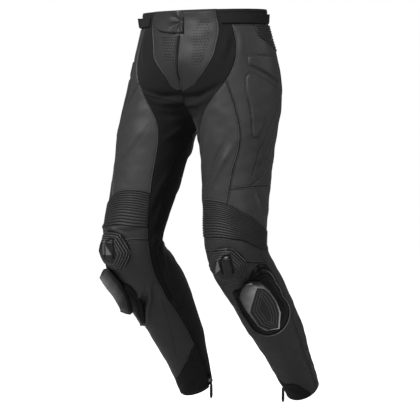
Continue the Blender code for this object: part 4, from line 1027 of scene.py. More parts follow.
def bumped(tree, height, strength, distance, **below):
    """Normal raised by a height, on a normal below it if there is one."""
    return node(tree, "ShaderNodeBump", Strength=strength, Distance=distance, Height=height,
                **below).outputs[0]


def painted(tree, base, *marks):
    """A colour with marks over it, each a share and the colour that it brings."""
    for share, tone in marks:
        a, b = (c if isinstance(c, bpy.types.NodeSocket) else (*c, 1.0) for c in (base, tone))
        base = node(tree, "ShaderNodeMix", data_type="RGBA", i0=share, i6=a, i7=b).outputs[2]
    return base


def field(tree, name, by=1.0):
    """A named value of the mesh, times a number or another value."""
    value = node(tree, "ShaderNodeAttribute", attribute_name=name).outputs["Fac"]
    return maths(tree, "MULTIPLY", value, by)


def connect(tree, shader, colour, normal, roughness=None):
    """Link the colour, the normal and any roughness to the shader."""
    tree.links.new(colour, shader.inputs["Base Color"])
    tree.links.new(normal, shader.inputs["Normal"])
    if roughness is not None:
        tree.links.new(roughness, shader.inputs["Roughness"])


def shaded(tone, *shares):
    """A colour at several brightnesses."""
    return [tuple(c * share for c in tone) for share in shares]


def leather():
    """Black grained leather: mottled, with painted highlights and painted shade in the seams, and
    punched, with painted shade in the holes, where the mesh says so.
    """
    made, shader, tree = start_material("Grained leather", 0.5, specular=0.30, sheen=0.02)
    if tree is None:
        return made
    grain = place_group(tree, leather_grain(), Scale=620.0)
    # Colours: dark and light for the grain's mottling, a paler one for the painted highlight and a
    # darker one for the painted shade in the seams.
    dark, light, highlight, seam = shaded(bpy.context.scene.trousers.leather_colour,
                                     0.78, 1.22, 1.9, 0.22)
    wide = place_group(tree, punched_holes(), Pitch=0.0072, Radius=0.31)["Hole"]
    fine = place_group(tree, punched_holes(), Pitch=0.0030, Radius=0.17)["Hole"]
    hole, small = field(tree, "punched", wide), field(tree, "fine_punched", fine)
    # Mottled by the grain; painted highlight and painted shade in the seams where the mesh says; painted
    # shade in the punched holes.
    colour = painted(tree, dark, (grain["Tone"], light), (field(tree, "highlight", 0.6), highlight),
                     (field(tree, "seam", 0.72), seam),
                     (maths(tree, "MULTIPLY", hole, 0.97), (0.002, 0.002, 0.002)),
                     (maths(tree, "MULTIPLY", small, 0.6), (0.004, 0.004, 0.004)))
    depth = maths(tree, "MULTIPLY_ADD", small, 0.5, hole)
    normal = bumped(tree, maths(tree, "MULTIPLY", depth, -1.0), 0.6, 0.0006,
                    Normal=bumped(tree, grain["Height"], 0.35, 0.00025))
    rough = node(tree, "ShaderNodeMapRange", i0=grain["Tone"], i3=0.42, i4=0.60)
    connect(tree, shader, colour, normal, rough.outputs[0])
    return made


def stretch(name="Stretch fabric", share=1.0, specular=0.14, sheen=0.05):
    """Matt stretch fabric with a fine knit and a little sheen."""
    made, shader, tree = start_material(name, 0.82, specular=specular, sheen=sheen)
    if tree is None:
        return made
    knit = place_group(tree, cloth_weave(), Scale=260.0)
    dark, light, seam = shaded(bpy.context.scene.trousers.stretch_colour,
                               share * 0.75, share * 1.25, share * 0.3)
    # The knit mottles the colour; painted shade along the seams.
    colour = painted(tree, dark, (knit["Tone"], light), (field(tree, "seam", 0.6), seam))
    connect(tree, shader, colour, bumped(tree, knit["Height"], 0.4, 0.0003))
    return made


def shaded_stretch():
    """Stretch fabric darkened as painted shade, for the inner leg and the back of the thigh, with hardly
    any sheen.
    """
    return stretch("Stretch fabric in painted shade", 0.85, 0.12, 0.02)


def two_toned(name, pattern, dark, light, strength, distance, **surface):
    """A material of two colours, mixed and raised by one pattern."""
    made, shader, tree = start_material(name, **surface)
    if tree is not None:
        height = pattern(tree)
        connect(tree, shader, painted(tree, dark, (height, light)),
               bumped(tree, height, strength, distance))
    return made


def textured(kind, **values):
    """A pattern in the piece's own space."""
    def pattern(tree):
        place = node(tree, "ShaderNodeTexCoord").outputs["Object"]
        return node(tree, kind, Vector=place, **values).outputs["Fac"]
    return pattern


def webbing():
    """Dull woven webbing and tape."""
    return two_toned("Webbing", lambda tree: place_group(tree, cloth_weave(), Scale=150.0)["Height"],
                     (0.006, 0.006, 0.0065), (0.014, 0.014, 0.0145), 0.5, 0.0004,
                     roughness=0.75, specular=0.14, sheen=0.03)


def thread():
    """Twisted dark grey thread."""
    return two_toned("Thread", textured("ShaderNodeTexWave", bands_direction="DIAGONAL", Scale=900.0),
                     (0.050, 0.050, 0.051), (0.110, 0.110, 0.112), 0.5, 0.0002,
                     roughness=0.6, specular=0.3)


def metal():
    """Dark plated metal of the zips."""
    return two_toned("Zip metal", textured("ShaderNodeTexNoise", Scale=700.0, Detail=2.0),
                     (0.28, 0.28, 0.285), (0.48, 0.48, 0.485), 0.1, 0.0001,
                     roughness=0.35, metallic=0.9)


def plastic(name, specular, scale, dark, light, marks, rough, strength):
    """Black plastic: faintly mottled and grained, with painted highlights and painted shade that the
    mesh places.

    It is dull where the mesh is sunk, and otherwise of a roughness between two values.
    """
    made, shader, tree = start_material(name, rough[0], specular=specular)
    if tree is None:
        return made
    grain = place_group(tree, leather_grain(), Scale=scale)
    colour = painted(tree, dark, (grain["Tone"], light),
                     *((field(tree, key, share), tone) for key, share, tone in marks))
    even = node(tree, "ShaderNodeMapRange", i0=grain["Tone"], i3=rough[0], i4=rough[1])
    connect(tree, shader, colour, bumped(tree, grain["Height"], strength, 0.0002),
           maths(tree, "MAXIMUM", even.outputs[0], field(tree, "sunk")))
    return made


def moulded():
    """Black moulded plastic: satin, with faint mottling, painted glints on its ridges and painted shade
    where it is sunk.
    """
    return plastic("Moulded plastic", 0.32, 1500.0, (0.008, 0.008, 0.0081), (0.014, 0.014, 0.0142),
                   (("worn", 1.0, (0.15, 0.15, 0.153)), ("sunk", 0.8, (0.001, 0.001, 0.001))),
                   (0.24, 0.42), 0.12)


def padded_base():
    """Black backing of the slider: rubbery cloth with a dull shine and painted glints on its rim."""
    return plastic("Slider base", 0.13, 1100.0, (0.0015, 0.0015, 0.0015), (0.0035, 0.0035, 0.0036),
                   (("worn", 1.0, (0.28, 0.28, 0.283)),), (0.36, 0.36), 0.25)


def puck():
    """Slider plastic: dark grey textured face, a painted highlight on its smooth flank and painted
    glints on its rims and lines.
    """
    return plastic("Slider plastic", 0.30, 800.0, (0.011, 0.011, 0.0111), (0.019, 0.019, 0.0193),
                   (("flank_highlight", 1.0, (0.15, 0.15, 0.153)), ("worn", 1.0, (0.55, 0.55, 0.56))),
                   (0.30, 0.50), 0.15)


# Each finish: what makes its material, and its slot.
# The inner finish is the stretch fabric darkened as painted shade.
FINISHES = {"leather": (leather, "leather"), "stretch": (stretch, "stretch_fabric"),
            "inner": (shaded_stretch, "stretch_fabric"), "webbing": (webbing, "webbing"),
            "thread": (thread, "webbing"), "moulded": (moulded, "moulded_plastic"),
            "base": (padded_base, "stretch_fabric"), "puck": (puck, "slider_plastic"),
            "metal": (metal, "zip_metal")}


def settle(piece, finish, body="trousers", nodes=()):
    """Give a piece its material, the body it rides on and the nodes it stands for."""
    material, own_slot = FINISHES[finish]
    piece.data.materials.append(material())
    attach(piece, body)
    if nodes:
        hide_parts(*nodes)


# ---------------------------------------------------------------- ribbed panels

YOKE_RIBS, YOKE_PARTING = 10, (84.0, 1.2)
ROWS_PER_RIB = 8


def ribbed_panels(half, wall):
    """The ribbed panels above the knee and over the back of the hips, the latter parted.

    A rib is |sin| to a power under 1, so that crests are round and valleys sharp.
    """
    s = seams(half)
    height = bpy.context.scene.trousers.rib_height
    knee = Panel("knee_ribs", s["stretch"], s["side"], curve(RIBS_TOP), curve(RIBS_BOTTOM),
                 0.0045, "leather", "t")
    yoke = Panel("back_yoke", s["yoke"], s["centre_back"], level(BAND_BOTTOM),
                 level(YOKE_BOTTOM), 0.0040, "leather", "lb")
    for cut, count, width, fade in ((knee, half.leg.ribs, 0.20, 0.03),
                                    (yoke, YOKE_RIBS, 0.24, 0.02)):

        def lift(down, across, bearing):
            ends = smooth_step(np.minimum(across, 1.0 - across) / fade)
            parted = 1.0 - ridge(bearing, *YOKE_PARTING) if cut is yoke else 1.0
            profile = np.abs(np.sin(np.pi * down[:, None] * count)) ** 0.6
            return height * profile * ends * parted

        sizes = np.linspace(0.0, 1.0, count * ROWS_PER_RIB + 1), shares(width, cut.spacing)
        settle(cloth(half, cut, wall, lift, sizes), "leather",
               nodes=[f"{cut.name}_{half.leg.name}"])


# ---------------------------------------------------------------- hard pieces

CUP_OUTLINE = ((0, 0.050), (60, 0.048), (120, 0.049), (180, 0.050), (240, 0.052), (300, 0.052))
BASE_OUTLINE = ((0, 0.104), (22, 0.102), (38, 0.096), (70, 0.062), (90, 0.062), (115, 0.073),
                (135, 0.098), (152, 0.118), (163, 0.118), (171, 0.102), (180, 0.080),
                (195, 0.072), (216, 0.078), (232, 0.069), (255, 0.062), (280, 0.061),
                (305, 0.067), (330, 0.089), (345, 0.100))
BASE_TOP, BASE_FOOT = 0.0080, 0.0008


class Spot:
    """Flat map round a place on the garment: metres down the leg and across it."""

    def __init__(self, half, centre):
        self.half, (station, self.bearing) = half, centre
        self.stations = np.linspace(station - 0.4, station + 0.4, 401)
        line = half.at(self.stations, self.bearing)[0]
        steps = np.linalg.norm(np.diff(line, axis=0), axis=1)
        self.down_to = np.concatenate([[0.0], np.cumsum(steps)]) - steps[:200].sum()
        sides = half.at(station, self.bearing + np.array([-10.0, 10.0]))[0]
        self.per_metre = 20.0 / np.linalg.norm(sides[1] - sides[0])

    def place(self, down, across, lift):
        """Points at a height over places of the flat map."""
        station = np.interp(down, self.down_to, self.stations)
        bearing = self.bearing + across * self.per_metre
        return self.half.at(station, bearing, lift + fold_lift(station, bearing))[0]


def tube_faces(index):
    """Quads between the rows of a table of point numbers, each row a closed ring."""
    after = np.roll(index, -1, axis=1)
    return np.stack([index[:-1], after[:-1], after[1:], index[1:]], -1).reshape(-1, 4).tolist()


def round_body(piece, half, rings, fields, smooth=True):
    """A closed body: rings of points joined in turn, with a fan over the first and the last.

    The corners of the right leg's faces run backwards, so that its quads split the other way.
    """
    index = np.arange(rings[..., 0].size).reshape(rings.shape[:2])
    faces = tube_faces(index)
    for middle, ring in ((index.size, index[0, ::-1]), (index.size + 1, index[-1])):
        faces += [(middle, int(a), int(b)) for a, b in zip(ring, np.roll(ring, -1))]
    points = np.concatenate([rings.reshape(-1, 3), rings[[0, -1]].mean(axis=1)])
    values = {key: np.pad(v.ravel(), (0, len(points) - v.size)) for key, v in fields.items()}
    made = mesh_object(f"{piece}_{half.leg.name}_shell", points,
                       [face[::half.leg.side] for face in faces], fields=values, smooth=smooth)
    face_outward(made)
    return made


def face_outward(made):
    """Turn every closed shell of a mesh outward."""
    mesh = bmesh.new()
    mesh.from_mesh(made.data)
    bmesh.ops.recalc_face_normals(mesh, faces=mesh.faces)
    mesh.to_mesh(made.data)
    mesh.free()


def moulding(piece, half, centre, outline, turned, top, share, directions, underside=0.0012):
    """A closed hard piece: rings of one outline, from its middle out, then the underside.

    The outline is turned by some degrees.  top gives lift and named values at each share and
    direction.
    """
    spot = Spot(half, centre)
    turn = np.linspace(0.0, 2.0 * np.pi, directions, endpoint=False)
    wrapped = [(a + 360.0 * k, r) for k in (-1, 0, 1) for a, r in outline]
    reach = curve(wrapped)(np.degrees(turn))
    lift, fields = top(*np.meshgrid(share, turn, indexing="ij"))
    turn = turn + np.radians(turned)
    under = np.array([1.0, 0.8, 0.4])
    under_lift = np.tile(STAND_OFF + underside * (under < 1.0), (directions, 1)).T
    flat = np.append(share, under)[:, None] * reach
    rings = spot.place(flat * np.cos(turn), flat * np.sin(turn),
                       np.concatenate([lift, under_lift]))
    made = round_body(piece, half, rings, fields)
    made.data.set_sharp_from_angle(angle=np.radians(50.0))
    return made


# Arch sunk in the cup's cap, metres down and outwards; then the corners of a facet with a painted
# highlight.
CUP_HOLLOW = ((0.008, -0.004), (-0.020, -0.003), (-0.031, 0.004), (-0.031, 0.016),
              (-0.010, 0.019), (0.010, 0.017))
CUP_FACET = {"left": ((0.006, -0.020), (-0.024, -0.0075), (-0.002, -0.0070)),
             "right": ((0.004, 0.009), (0.002, -0.014), (-0.029, 0.006))}
CUP_LIPS = ((0.87, 0.0016), (0.765, 0.0015), (0.665, 0.0015), (0.575, 0.0012), (0.48, 0.0008))
# How bright the painted glints on the lips are: plain, on the upper outer side and at the lower end.
CUP_SHINE = {"left": (0.55, 1.1, 1.0), "right": (1.0, 0.5, 0.5)}
CUP_REACH = 0.05                # metres from the cup's middle to its outline
# Heights of the cup: its outer step, its dome over that, its flange and its foot.
CUP_STEP, CUP_DOME, CUP_FLANGE, CUP_FOOT = 0.0040, 0.0165, 0.0012, 0.0006
# Depths in its cap: the arch and its width, the ground inside the arch, the facet with the painted
# highlight.
ARCH_DEPTH, ARCH_WIDTH, CAP_DEPTH, FACET_DEPTH = 0.0034, 0.0027, 0.0012, 0.0010
CAP_DOWN, CAP_OUT, CAP_RADIUS = -0.010, 0.008, 0.013


def knee_cup(half):
    """Moulded knee cup: a soft flange and rounded hexagons, one inside another, to a cap.

    Height is a dome on the hexagon's norm + a lip at each step - an arch sunk in the cap.
    """
    plain, upper, lower = CUP_SHINE[half.leg.name]
    corners = CUP_FACET[half.leg.name]

    def top(s, t):
        sides = np.cos(t[..., None] - np.radians(np.arange(6) * 60.0 + 2.0))
        hexagon = s * (0.94 + 0.72 * (sides.max(axis=-1) - 0.96))
        lift = CUP_STEP + CUP_DOME * (1.0 - smooth_step((hexagon - 0.32) / 0.60))
        lift = lift + CUP_FLANGE * ridge(s, 0.95, 0.04)
        down, out = s * np.cos(t) * CUP_REACH, s * np.sin(t) * CUP_REACH
        aside = out * half.leg.side
        inside = smooth_step((CAP_RADIUS - np.hypot(down - CAP_DOWN, aside - CAP_OUT)) / 0.004)
        # Painted glints on the crests of the lips, brighter on some sides.
        worn = np.zeros_like(s)
        for at, height in CUP_LIPS:
            lift = lift + height * (1.0 - inside) * (
                ridge(hexagon, at, 0.018) - 0.8 * ridge(hexagon, at + 0.042, 0.018))
            worn = np.maximum(worn, ridge(hexagon, at, 0.011) * (0.5 + 0.5 * at))
        degrees = np.degrees(t)
        ends = ridge(degrees, 0.0, 16.0) + ridge(degrees, 360.0, 16.0)
        shine = (upper * ridge(degrees, 118.0, 20.0) + lower * ends) * (hexagon > 0.8)
        far = np.minimum.reduce([from_line(down, aside, a, b)[0]
                                 for a, b in zip(CUP_HOLLOW, CUP_HOLLOW[1:])])
        # The sunk arch is darkened with painted shade and made dull.
        arch = ridge(far, 0.0, ARCH_WIDTH)
        # A facet lit by a painted highlight.
        facet = np.minimum.reduce([
            ((down - a) * (d - b) - (out - b) * (c - a)) / np.hypot(c - a, d - b)
            for (a, b), (c, d) in zip(corners, corners[1:] + corners[:1])])
        facet = smooth_step(0.5 + facet / 0.0016)
        lift = lift - ARCH_DEPTH * arch - CAP_DEPTH * inside - FACET_DEPTH * facet
        worn = np.clip(worn * (plain + shine) * (1.0 - inside) * (1.0 - arch), 0.0, 1.0)
        return (lift * smooth_step((1.0 - s) / 0.03) + STAND_OFF + CUP_FOOT,
                {"worn": np.clip(worn + 0.9 * facet, 0.0, 1.0),
                 "sunk": np.clip(1.2 * arch, 0.0, 1.0)})

    share = np.concatenate([np.linspace(0.02, 0.97, 104), [0.98, 0.99, 1.0]])
    made = moulding("knee_cup", half, half.leg.cup, CUP_OUTLINE, 0.0, top, share, 150)
    settle(made, "moulded", nodes=[f"knee_cup_{half.leg.name}"])


def slider_base(half):
    """Backing pad of the slider: a plateau, a raised rim line and a soft roll outside it."""
    def top(s, t):
        rim = 0.84 + 0.09 * smooth_step((np.cos(t - 0.6) - 0.1) / 0.5)
        outer = np.clip((s - rim) / (1.0 - rim), 0.0, 1.0)
        nested = ridge(s, rim - 0.10, 0.012) + ridge(s, rim - 0.17, 0.012)
        lift = (BASE_TOP - 0.0016 * smooth_step((s - 0.55) / 0.25)
                - 0.0026 * smooth_step(outer * 1.5) - 0.0026 * smooth_step((s - 0.93) / 0.07)
                + 0.0018 * ridge(s, rim, 0.016) - 0.0012 * ridge(s, rim - 0.045, 0.020)
                + 0.0009 * nested + 0.0006 * ridge(outer, 0.55, 0.12))
        # Painted glints: a light line along the rim on one side, fainter ones on the nested ridges and a
        # spot near the top.
        side = smooth_step((np.sin(t + 0.5) + 0.1) / 0.5)
        worn = (ridge(s, rim, 0.012) + 0.15 * nested) * side
        worn = worn + 1.2 * ridge(s, 0.735, 0.016) * ridge(np.degrees(t), 186.0, 8.0)
        lift = lift * smooth_step((1.0 - s) / 0.02 + 0.12)
        return lift + STAND_OFF + BASE_FOOT, {"worn": worn}

    share = np.concatenate([np.linspace(0.03, 0.97, 96), [0.98, 0.99, 1.0]])
    made = moulding("slider_base", half, half.leg.base, BASE_OUTLINE, half.leg.slider_turn,
                    top, share, 168, underside=0.0017)
    settle(made, "base", nodes=[f"slider_base_{half.leg.name}"])


# Corners of the slider puck in metres down and across: of its waist, then of its face.
PUCK_CORNERS = (
    (-0.0860, 0.0075, -0.0790, 0.0130), (-0.0720, 0.0255, -0.0648, 0.0236),
    (-0.0450, 0.0315, -0.0428, 0.0278), (0.0000, 0.0300, -0.0020, 0.0265),
    (0.0340, 0.0262, 0.0300, 0.0217), (0.0769, 0.0060, 0.0666, 0.0070),
    (0.0650, -0.0165, 0.0563, -0.0089), (0.0310, -0.0240, 0.0353, -0.0188),
    (0.0065, -0.0290, 0.0100, -0.0198), (-0.0286, -0.0310, -0.0156, -0.0208),
    (-0.0560, -0.0262, -0.0340, -0.0125), (-0.0740, -0.0160, -0.0499, -0.0035),
    (-0.0850, -0.0035, -0.0670, 0.0050),
)
PUCK_SEAT, PUCK_WAIST, PUCK_FACE = 0.0060, 0.0180, 0.0355
# Rings of the puck's face: metres in from its edge, how deep, how bright its painted glint.
PUCK_RINGS = ((0.0, 0.0, 0.10), (0.0007, -0.0004, 0.20), (0.0014, 0.0, 0.10),
              (0.0026, 0.0022, 0.0), (0.0055, 0.0022, 0.0), (0.0062, 0.0014, 0.12),
              (0.0068, 0.0014, 0.12), (0.0075, 0.0022, 0.0), (0.0105, 0.0022, 0.0),
              (0.0112, 0.0014, 0.11), (0.0118, 0.0014, 0.11), (0.0125, 0.0022, 0.0),
              (0.0150, 0.0022, 0.0), (0.0156, 0.0014, 0.09), (0.0162, 0.0014, 0.09),
              (0.0168, 0.0022, 0.0))
# How bright the painted highlight on the smooth flank is at some corners, and how bright the painted
# glints on the rim.
PUCK_FLANK = {9: 0.6, 10: 1.0, 11: 1.0, 12: 0.9}
PUCK_RIM = {0: 2.2, 1: 1.0, 2: 0.5, 3: 1.2, 12: 2.0}
# Corners with a painted streak of light, and the place down the puck that the right leg's face is drawn
# in towards.
PUCK_STREAK, PUCK_MIDDLE = (4, 5), 0.012


def drawn_in(outline, distance):
    """A closed outline drawn in: each corner where its two sides, moved in, would meet."""
    side = unit(np.roll(outline, -1, axis=0) - outline)
    inward = np.stack([side[:, 1], -side[:, 0]], axis=1)
    middle = outline.mean(axis=0)
    if ((middle - outline) * inward).sum() < 0.0:
        inward = -inward
    before = np.roll(inward, 1, axis=0)
    corner = (inward + before) / (1.0 + (inward * before).sum(axis=1))[:, None]
    return outline + corner * distance


def slider_puck(half):
    """Slider puck: a faceted block, with a smooth slanted flank and a sunk, lined face."""
    spot = Spot(half, half.leg.puck)
    table = np.array(PUCK_CORNERS)
    a = np.radians(half.leg.slider_turn)
    turn = np.array([[np.cos(a), np.sin(a)], [-np.sin(a), np.cos(a)]])
    waist, face = table[:, :2], table[:, 2:].copy()
    if half.leg.name == "right":        # the leg bends more here, which would draw the face out
        face[:, 0] = PUCK_MIDDLE + (face[:, 0] - PUCK_MIDDLE) * 0.86
    waist, face = waist @ turn, face @ turn
    rows = [(waist * 0.98, PUCK_SEAT), (waist, PUCK_WAIST),
            (waist + (face - waist) * 0.35, PUCK_WAIST + 0.0075)]
    rows += [(drawn_in(face, inward), PUCK_FACE - deep) for inward, deep, _ in PUCK_RINGS]
    rings = np.array([spot.place(flat[:, 0], flat[:, 1], lift) for flat, lift in rows])
    # Painted highlight on the flank at some corners.
    flank_highlight, worn = np.zeros(rings.shape[:2]), np.zeros(rings.shape[:2])
    for corner, light in PUCK_FLANK.items():
        flank_highlight[1:4, corner] = (0.12 * light, 0.55 * light, light)
    # Painted glints on the face's rings and rim, and a painted streak of light.
    worn[3:] = np.array([r[2] for r in PUCK_RINGS])[:, None]
    for corner, bright in PUCK_RIM.items():
        worn[3:6, corner] *= 1.0 + bright
    worn[3:6, PUCK_STREAK] = 1.0
    made = round_body("slider_puck", half, rings, {"flank_highlight": flank_highlight, "worn": worn}, smooth=False)
    bevel = made.modifiers.new("edges", "BEVEL")
    bevel.width, bevel.segments = 0.0008, 2
    bevel.limit_method, bevel.angle_limit = "ANGLE", np.radians(20.0)
    settle(made, "puck", nodes=[f"slider_puck_{half.leg.name}"])


# ---------------------------------------------------------------- waist pieces

STRAP_TOP, STRAP_BOTTOM, STRAP_START, STRAP_END = 0.094, 0.250, 17.0, 102.0
# How far the strap's end stands off the band, and how far its middle bows out.
STRAP_PROUD = {"left": (0.004, 0.0), "right": (0.008, 0.0065)}
TAB_EDGE = ((-36, 0.405), (-28, 0.400), (-16, 0.375), (-6, 0.330), (0, 0.270), (5, 0.150))
FLY_TOP, FLY_BOTTOM, FLY_HALF_WIDTH, FLY_DEPTHS = 0.40, 1.040, 9.0, (0.0036, 0.0048)
# The tab: its height, its ripples and their reach, and its fastening (station, bearing).
TAB_HEIGHT, RIPPLE_HEIGHT, RIPPLE_REACH, FASTENING = 0.0034, 0.0024, 0.016, (0.21, -31.0)
# Outer and inner height of a strap over the band, and its two sewn dips.
STRAP_OUTER, STRAP_INNER, STRAP_DIPS = 0.0022, 0.0004, ((0.0006, 0.003, 0.0010), (0.0009, 0.0, 0.0008))


def strip(node_name, outer, inner, normals, gap=0.0,
          finish="webbing", fields=None):
    """A strip of cloth named after the node that it stands for, from its two grids."""
    piece = shell(f"{node_name}_cloth", inset(outer, gap), inset(inner, gap), normals,
                  np.stack(arcs(outer), -1), fields)
    settle(piece, finish, nodes=[node_name])


def across_middle(station_rows, bearing_of, lift, share):
    """Grid across the middle plane: the left half's columns, then the right half's."""
    station = station_rows[:, None] + 0.0 * share
    a, b = (half.at(station, bearing_of(half, station, share), lift) for half in HALVES)
    return [np.concatenate([x, y[:, ::-1]], axis=1) for x, y in zip(a, b)]


def waistband(wall):
    """Waistband round the sides and back, with a rolled top edge and six lines of ribbing."""
    share = np.linspace(0.0, 1.0, 110)
    down = np.linspace(0.0, 1.0, 27)[:, None]
    start = curve(SHIELD_SEAM)

    def bearing_of(half, v, share):
        return start(v) + (half.ends(v)[1] - start(v)) * share * 0.9995

    lines = 0.0005 * np.cos(down * 2.0 * np.pi * 6.0)
    edge = 0.0012 * ridge(np.minimum(down, 1.0 - down), 0.0, 0.05)
    rows = BAND_BOTTOM * down[:, 0]
    outer, normals = across_middle(rows, bearing_of, lines - edge, share)
    inner = across_middle(rows, bearing_of, -wall, share)[0]
    strip("waistband", outer, inner, normals, GAP)


def waist_strap(half):
    """Adjusting strap on the waistband, its end standing a little proud at the side."""
    down = shares(0.026, 0.0022, (0.0, 0.0006, 0.0014, 0.0024, 0.0036))
    station, bearing = patch(upright(STRAP_START), upright(STRAP_END), level(STRAP_TOP),
                             level(STRAP_BOTTOM), down, np.linspace(0.0, 1.0, 70))
    reach, slack = STRAP_PROUD[half.leg.name]
    proud = reach * smooth_step((bearing - STRAP_END + 20.0) / 20.0)
    proud = (proud + slack * ridge(bearing, 62.0, 9.0)) * np.linspace(1.6, 0.4, len(down))[:, None]
    drop = arcs(half.at(station, bearing)[0])[1]
    edge = np.minimum(drop, drop[-1:] - drop)
    sewn = sum(depth * ridge(edge, at, width) for depth, at, width in STRAP_DIPS)
    outer, normals = half.at(station, bearing, STAND_OFF + STRAP_OUTER + proud - sewn)
    inner = half.at(station, bearing, STAND_OFF + STRAP_INNER + proud)[0]
    strip(f"waist_strap_{half.leg.name}", outer, inner, normals)


def waist_tab():
    """Flap over the top of the fly, across the middle, pinched towards its fastening.

    Ripples: a sine of the direction from the fastening, fading with distance.
    """
    left, right = HALVES
    down = shares(0.05, 0.0016)
    parts = []
    for half, across, far_edge, bottom in (
            (left, np.linspace(1.0, 0.0, 9)[:-1], upright(-29.0), level(0.405)),
            (right, shares(0.080, 0.0016), upright(5.0), curve(TAB_EDGE))):
        parts.append((half, *patch(lambda v: half.ends(v)[0], far_edge, level(0.004), bottom,
                                   down, across)))
    bare = np.concatenate([h.at(v, b)[0] for h, v, b in parts], axis=1)
    run, drop = arcs(bare)
    edge = np.minimum.reduce([run, run[:, -1:] - run, drop + 0.002, drop[-1:] - drop])
    fastening = left.at(*FASTENING)[0]
    aside, below = bare[..., 0] - fastening[0], bare[..., 2] - fastening[2]
    far = np.hypot(aside, below)
    ripples = np.sin(np.arctan2(below, -aside) * 6.5 + 40.0 * far)
    pinch = RIPPLE_HEIGHT * ripples * ridge(far, RIPPLE_REACH, RIPPLE_REACH)
    pinch = pinch - 0.0012 * ridge(far, 0.0, 0.006)
    lift = STAND_OFF + TAB_HEIGHT + pinch - 0.0012 * ridge(edge, 0.0, 0.0016)
    lifts = np.split(lift, [parts[0][1].shape[1]], axis=1)
    outer, normals = (np.concatenate(x, axis=1) for x in zip(*(
        h.at(v, b, height) for (h, v, b), height in zip(parts, lifts))))
    inner = np.concatenate([h.at(v, b, STAND_OFF)[0] for h, v, b in parts], axis=1)
    # Painted shade along the tab's rolled edge.
    strip("waist_tab", outer, inner, normals, finish="leather",
          fields={"seam": ridge(edge, 0.0, 0.0016)})
    for line in ((slice(None), -5), (-5, slice(None))):
        THREADS["right"].append((outer[line], normals[line]))


def fly_zip():
    """Zip tape behind the two front edges."""
    share = np.linspace(1.0, 0.04, 9)
    rows = np.linspace(FLY_TOP, FLY_BOTTOM, 60)

    def bearing_of(half, v, share):
        return half.ends(v)[0] + FLY_HALF_WIDTH * share

    outer, normals = across_middle(rows, bearing_of, -FLY_DEPTHS[0], share)
    inner = across_middle(rows, bearing_of, -FLY_DEPTHS[1], share)[0]
    strip("fly_zip", outer, inner, normals)


# ---------------------------------------------------------------- hem zips

TOOTH_PITCH, TOOTH_SIZE, TOOTH_SHIFT = 0.0026, (0.0016, 0.0030, 0.0012), 0.0007
# Half widths of the pull at distances under the bar that it hangs on.
PULL_SHAPE = ((0.0028, 0.0010), (0.0034, 0.0020), (0.0070, 0.0024), (0.0085, 0.0036),
              (0.0125, 0.0058), (0.0260, 0.0068), (0.0380, 0.0070), (0.0430, 0.0056),
              (0.0460, 0.0030), (0.0468, 0.0010))
ZIP_END, BAR_HEIGHT, EYE_REACH, EYE_TUBE = 2.955, 0.0068, 0.0023, 0.0008


def hem_zip(half):
    """Tape of the hem zip, with its two rows of teeth as one run of small blocks."""
    s = seams(half)
    station, bearing = patch(s["zip_back"], s["shin_front"], level(ZIP_TOP), level(2.990),
                             np.linspace(0.0, 1.0, 110), np.linspace(0.0, 1.0, 13))
    run = arcs(half.at(station, bearing)[0])[0]
    middle = run - 0.5 * run[:, -1:]
    lift = -0.0004 + fold_lift(station, bearing) - 0.0006 * ridge(middle, 0.0, 0.0016)
    outer, normals = half.at(station, bearing, lift)
    inner = half.at(station, bearing, lift - 0.0010)[0]
    strip(f"hem_zip_{half.leg.name}", outer, inner, normals, GAP)
    station = np.linspace(ZIP_TOP + 0.01, 2.945, 1200)
    bearing = s["stretch"](station)
    point, along, normal = evenly(*half.at(station, bearing, fold_lift(station, bearing)),
                                  TOOTH_PITCH)
    side = np.where(np.arange(len(point)) % 2 == 0, TOOTH_SHIFT, -TOOTH_SHIFT)[:, None]
    corners = [(x, y, z) for z in (-0.3, 0.7) for x, y in
               ((-0.5, -0.5), (0.5, -0.5), (0.5, 0.5), (-0.5, 0.5))]
    faces = [(3, 2, 1, 0), (4, 5, 6, 7), (0, 1, 5, 4), (1, 2, 6, 5), (2, 3, 7, 6), (3, 0, 4, 7)]
    teeth = repeated(f"zip_teeth_{half.leg.name}", point + np.cross(normal, along) * side, along,
                     normal, np.array(corners) * TOOTH_SIZE, faces, smooth=False)
    settle(teeth, "moulded")


def zip_pull(half):
    """Pull of a hem zip: a ring on the slider's bar and a leaf of oval sections under it."""
    foot, out = half.at(ZIP_END, curve(STRETCH_SEAM)(ZIP_END))
    up = np.array([0.0, 0.0, 1.0])
    along = unit(np.cross(out, up))
    away = np.cross(up, along)
    bar = foot + out * BAR_HEIGHT
    around, tube, loop = (np.linspace(0.0, 2.0 * np.pi, count, endpoint=False)
                          for count in (20, 10, 28))
    shape = np.array(PULL_SHAPE)
    fall = np.linspace(shape[0, 0], shape[-1, 0], 50)[:, None]
    wide = np.interp(fall, shape[:, 0], shape[:, 1])
    thick = np.minimum(0.0012, wide * 0.8) - 0.0004 * ridge(fall, 0.028, 0.007)
    leaf = (bar + (wide * np.cos(around))[..., None] * along
            + (thick * np.sin(around))[..., None] * away - fall[..., None] * up)
    loop, t = np.meshgrid(loop, tube, indexing="ij")
    reach = EYE_REACH + EYE_TUBE * np.cos(t)
    ring = (bar + (reach * np.cos(loop))[..., None] * up + (reach * np.sin(loop))[..., None]
            * away + (1.6 * EYE_TUBE * np.sin(t))[..., None] * along)
    first = np.arange(leaf[..., 0].size).reshape(-1, len(around))
    second = first.size + np.arange(ring[..., 0].size).reshape(-1, len(tube))
    faces = tube_faces(first) + [first[0, ::-1].tolist(), first[-1].tolist()]
    faces += tube_faces(np.vstack([second, second[:1]]))
    made = mesh_object(f"zip_pull_{half.leg.name}_leaf",
                       np.concatenate([leaf.reshape(-1, 3), ring.reshape(-1, 3)]), faces)
    face_outward(made)
    made.data.set_sharp_from_angle(angle=np.radians(60.0))
    settle(made, "moulded", f"{half.leg.name}_pull", [f"zip_pull_{half.leg.name}"])


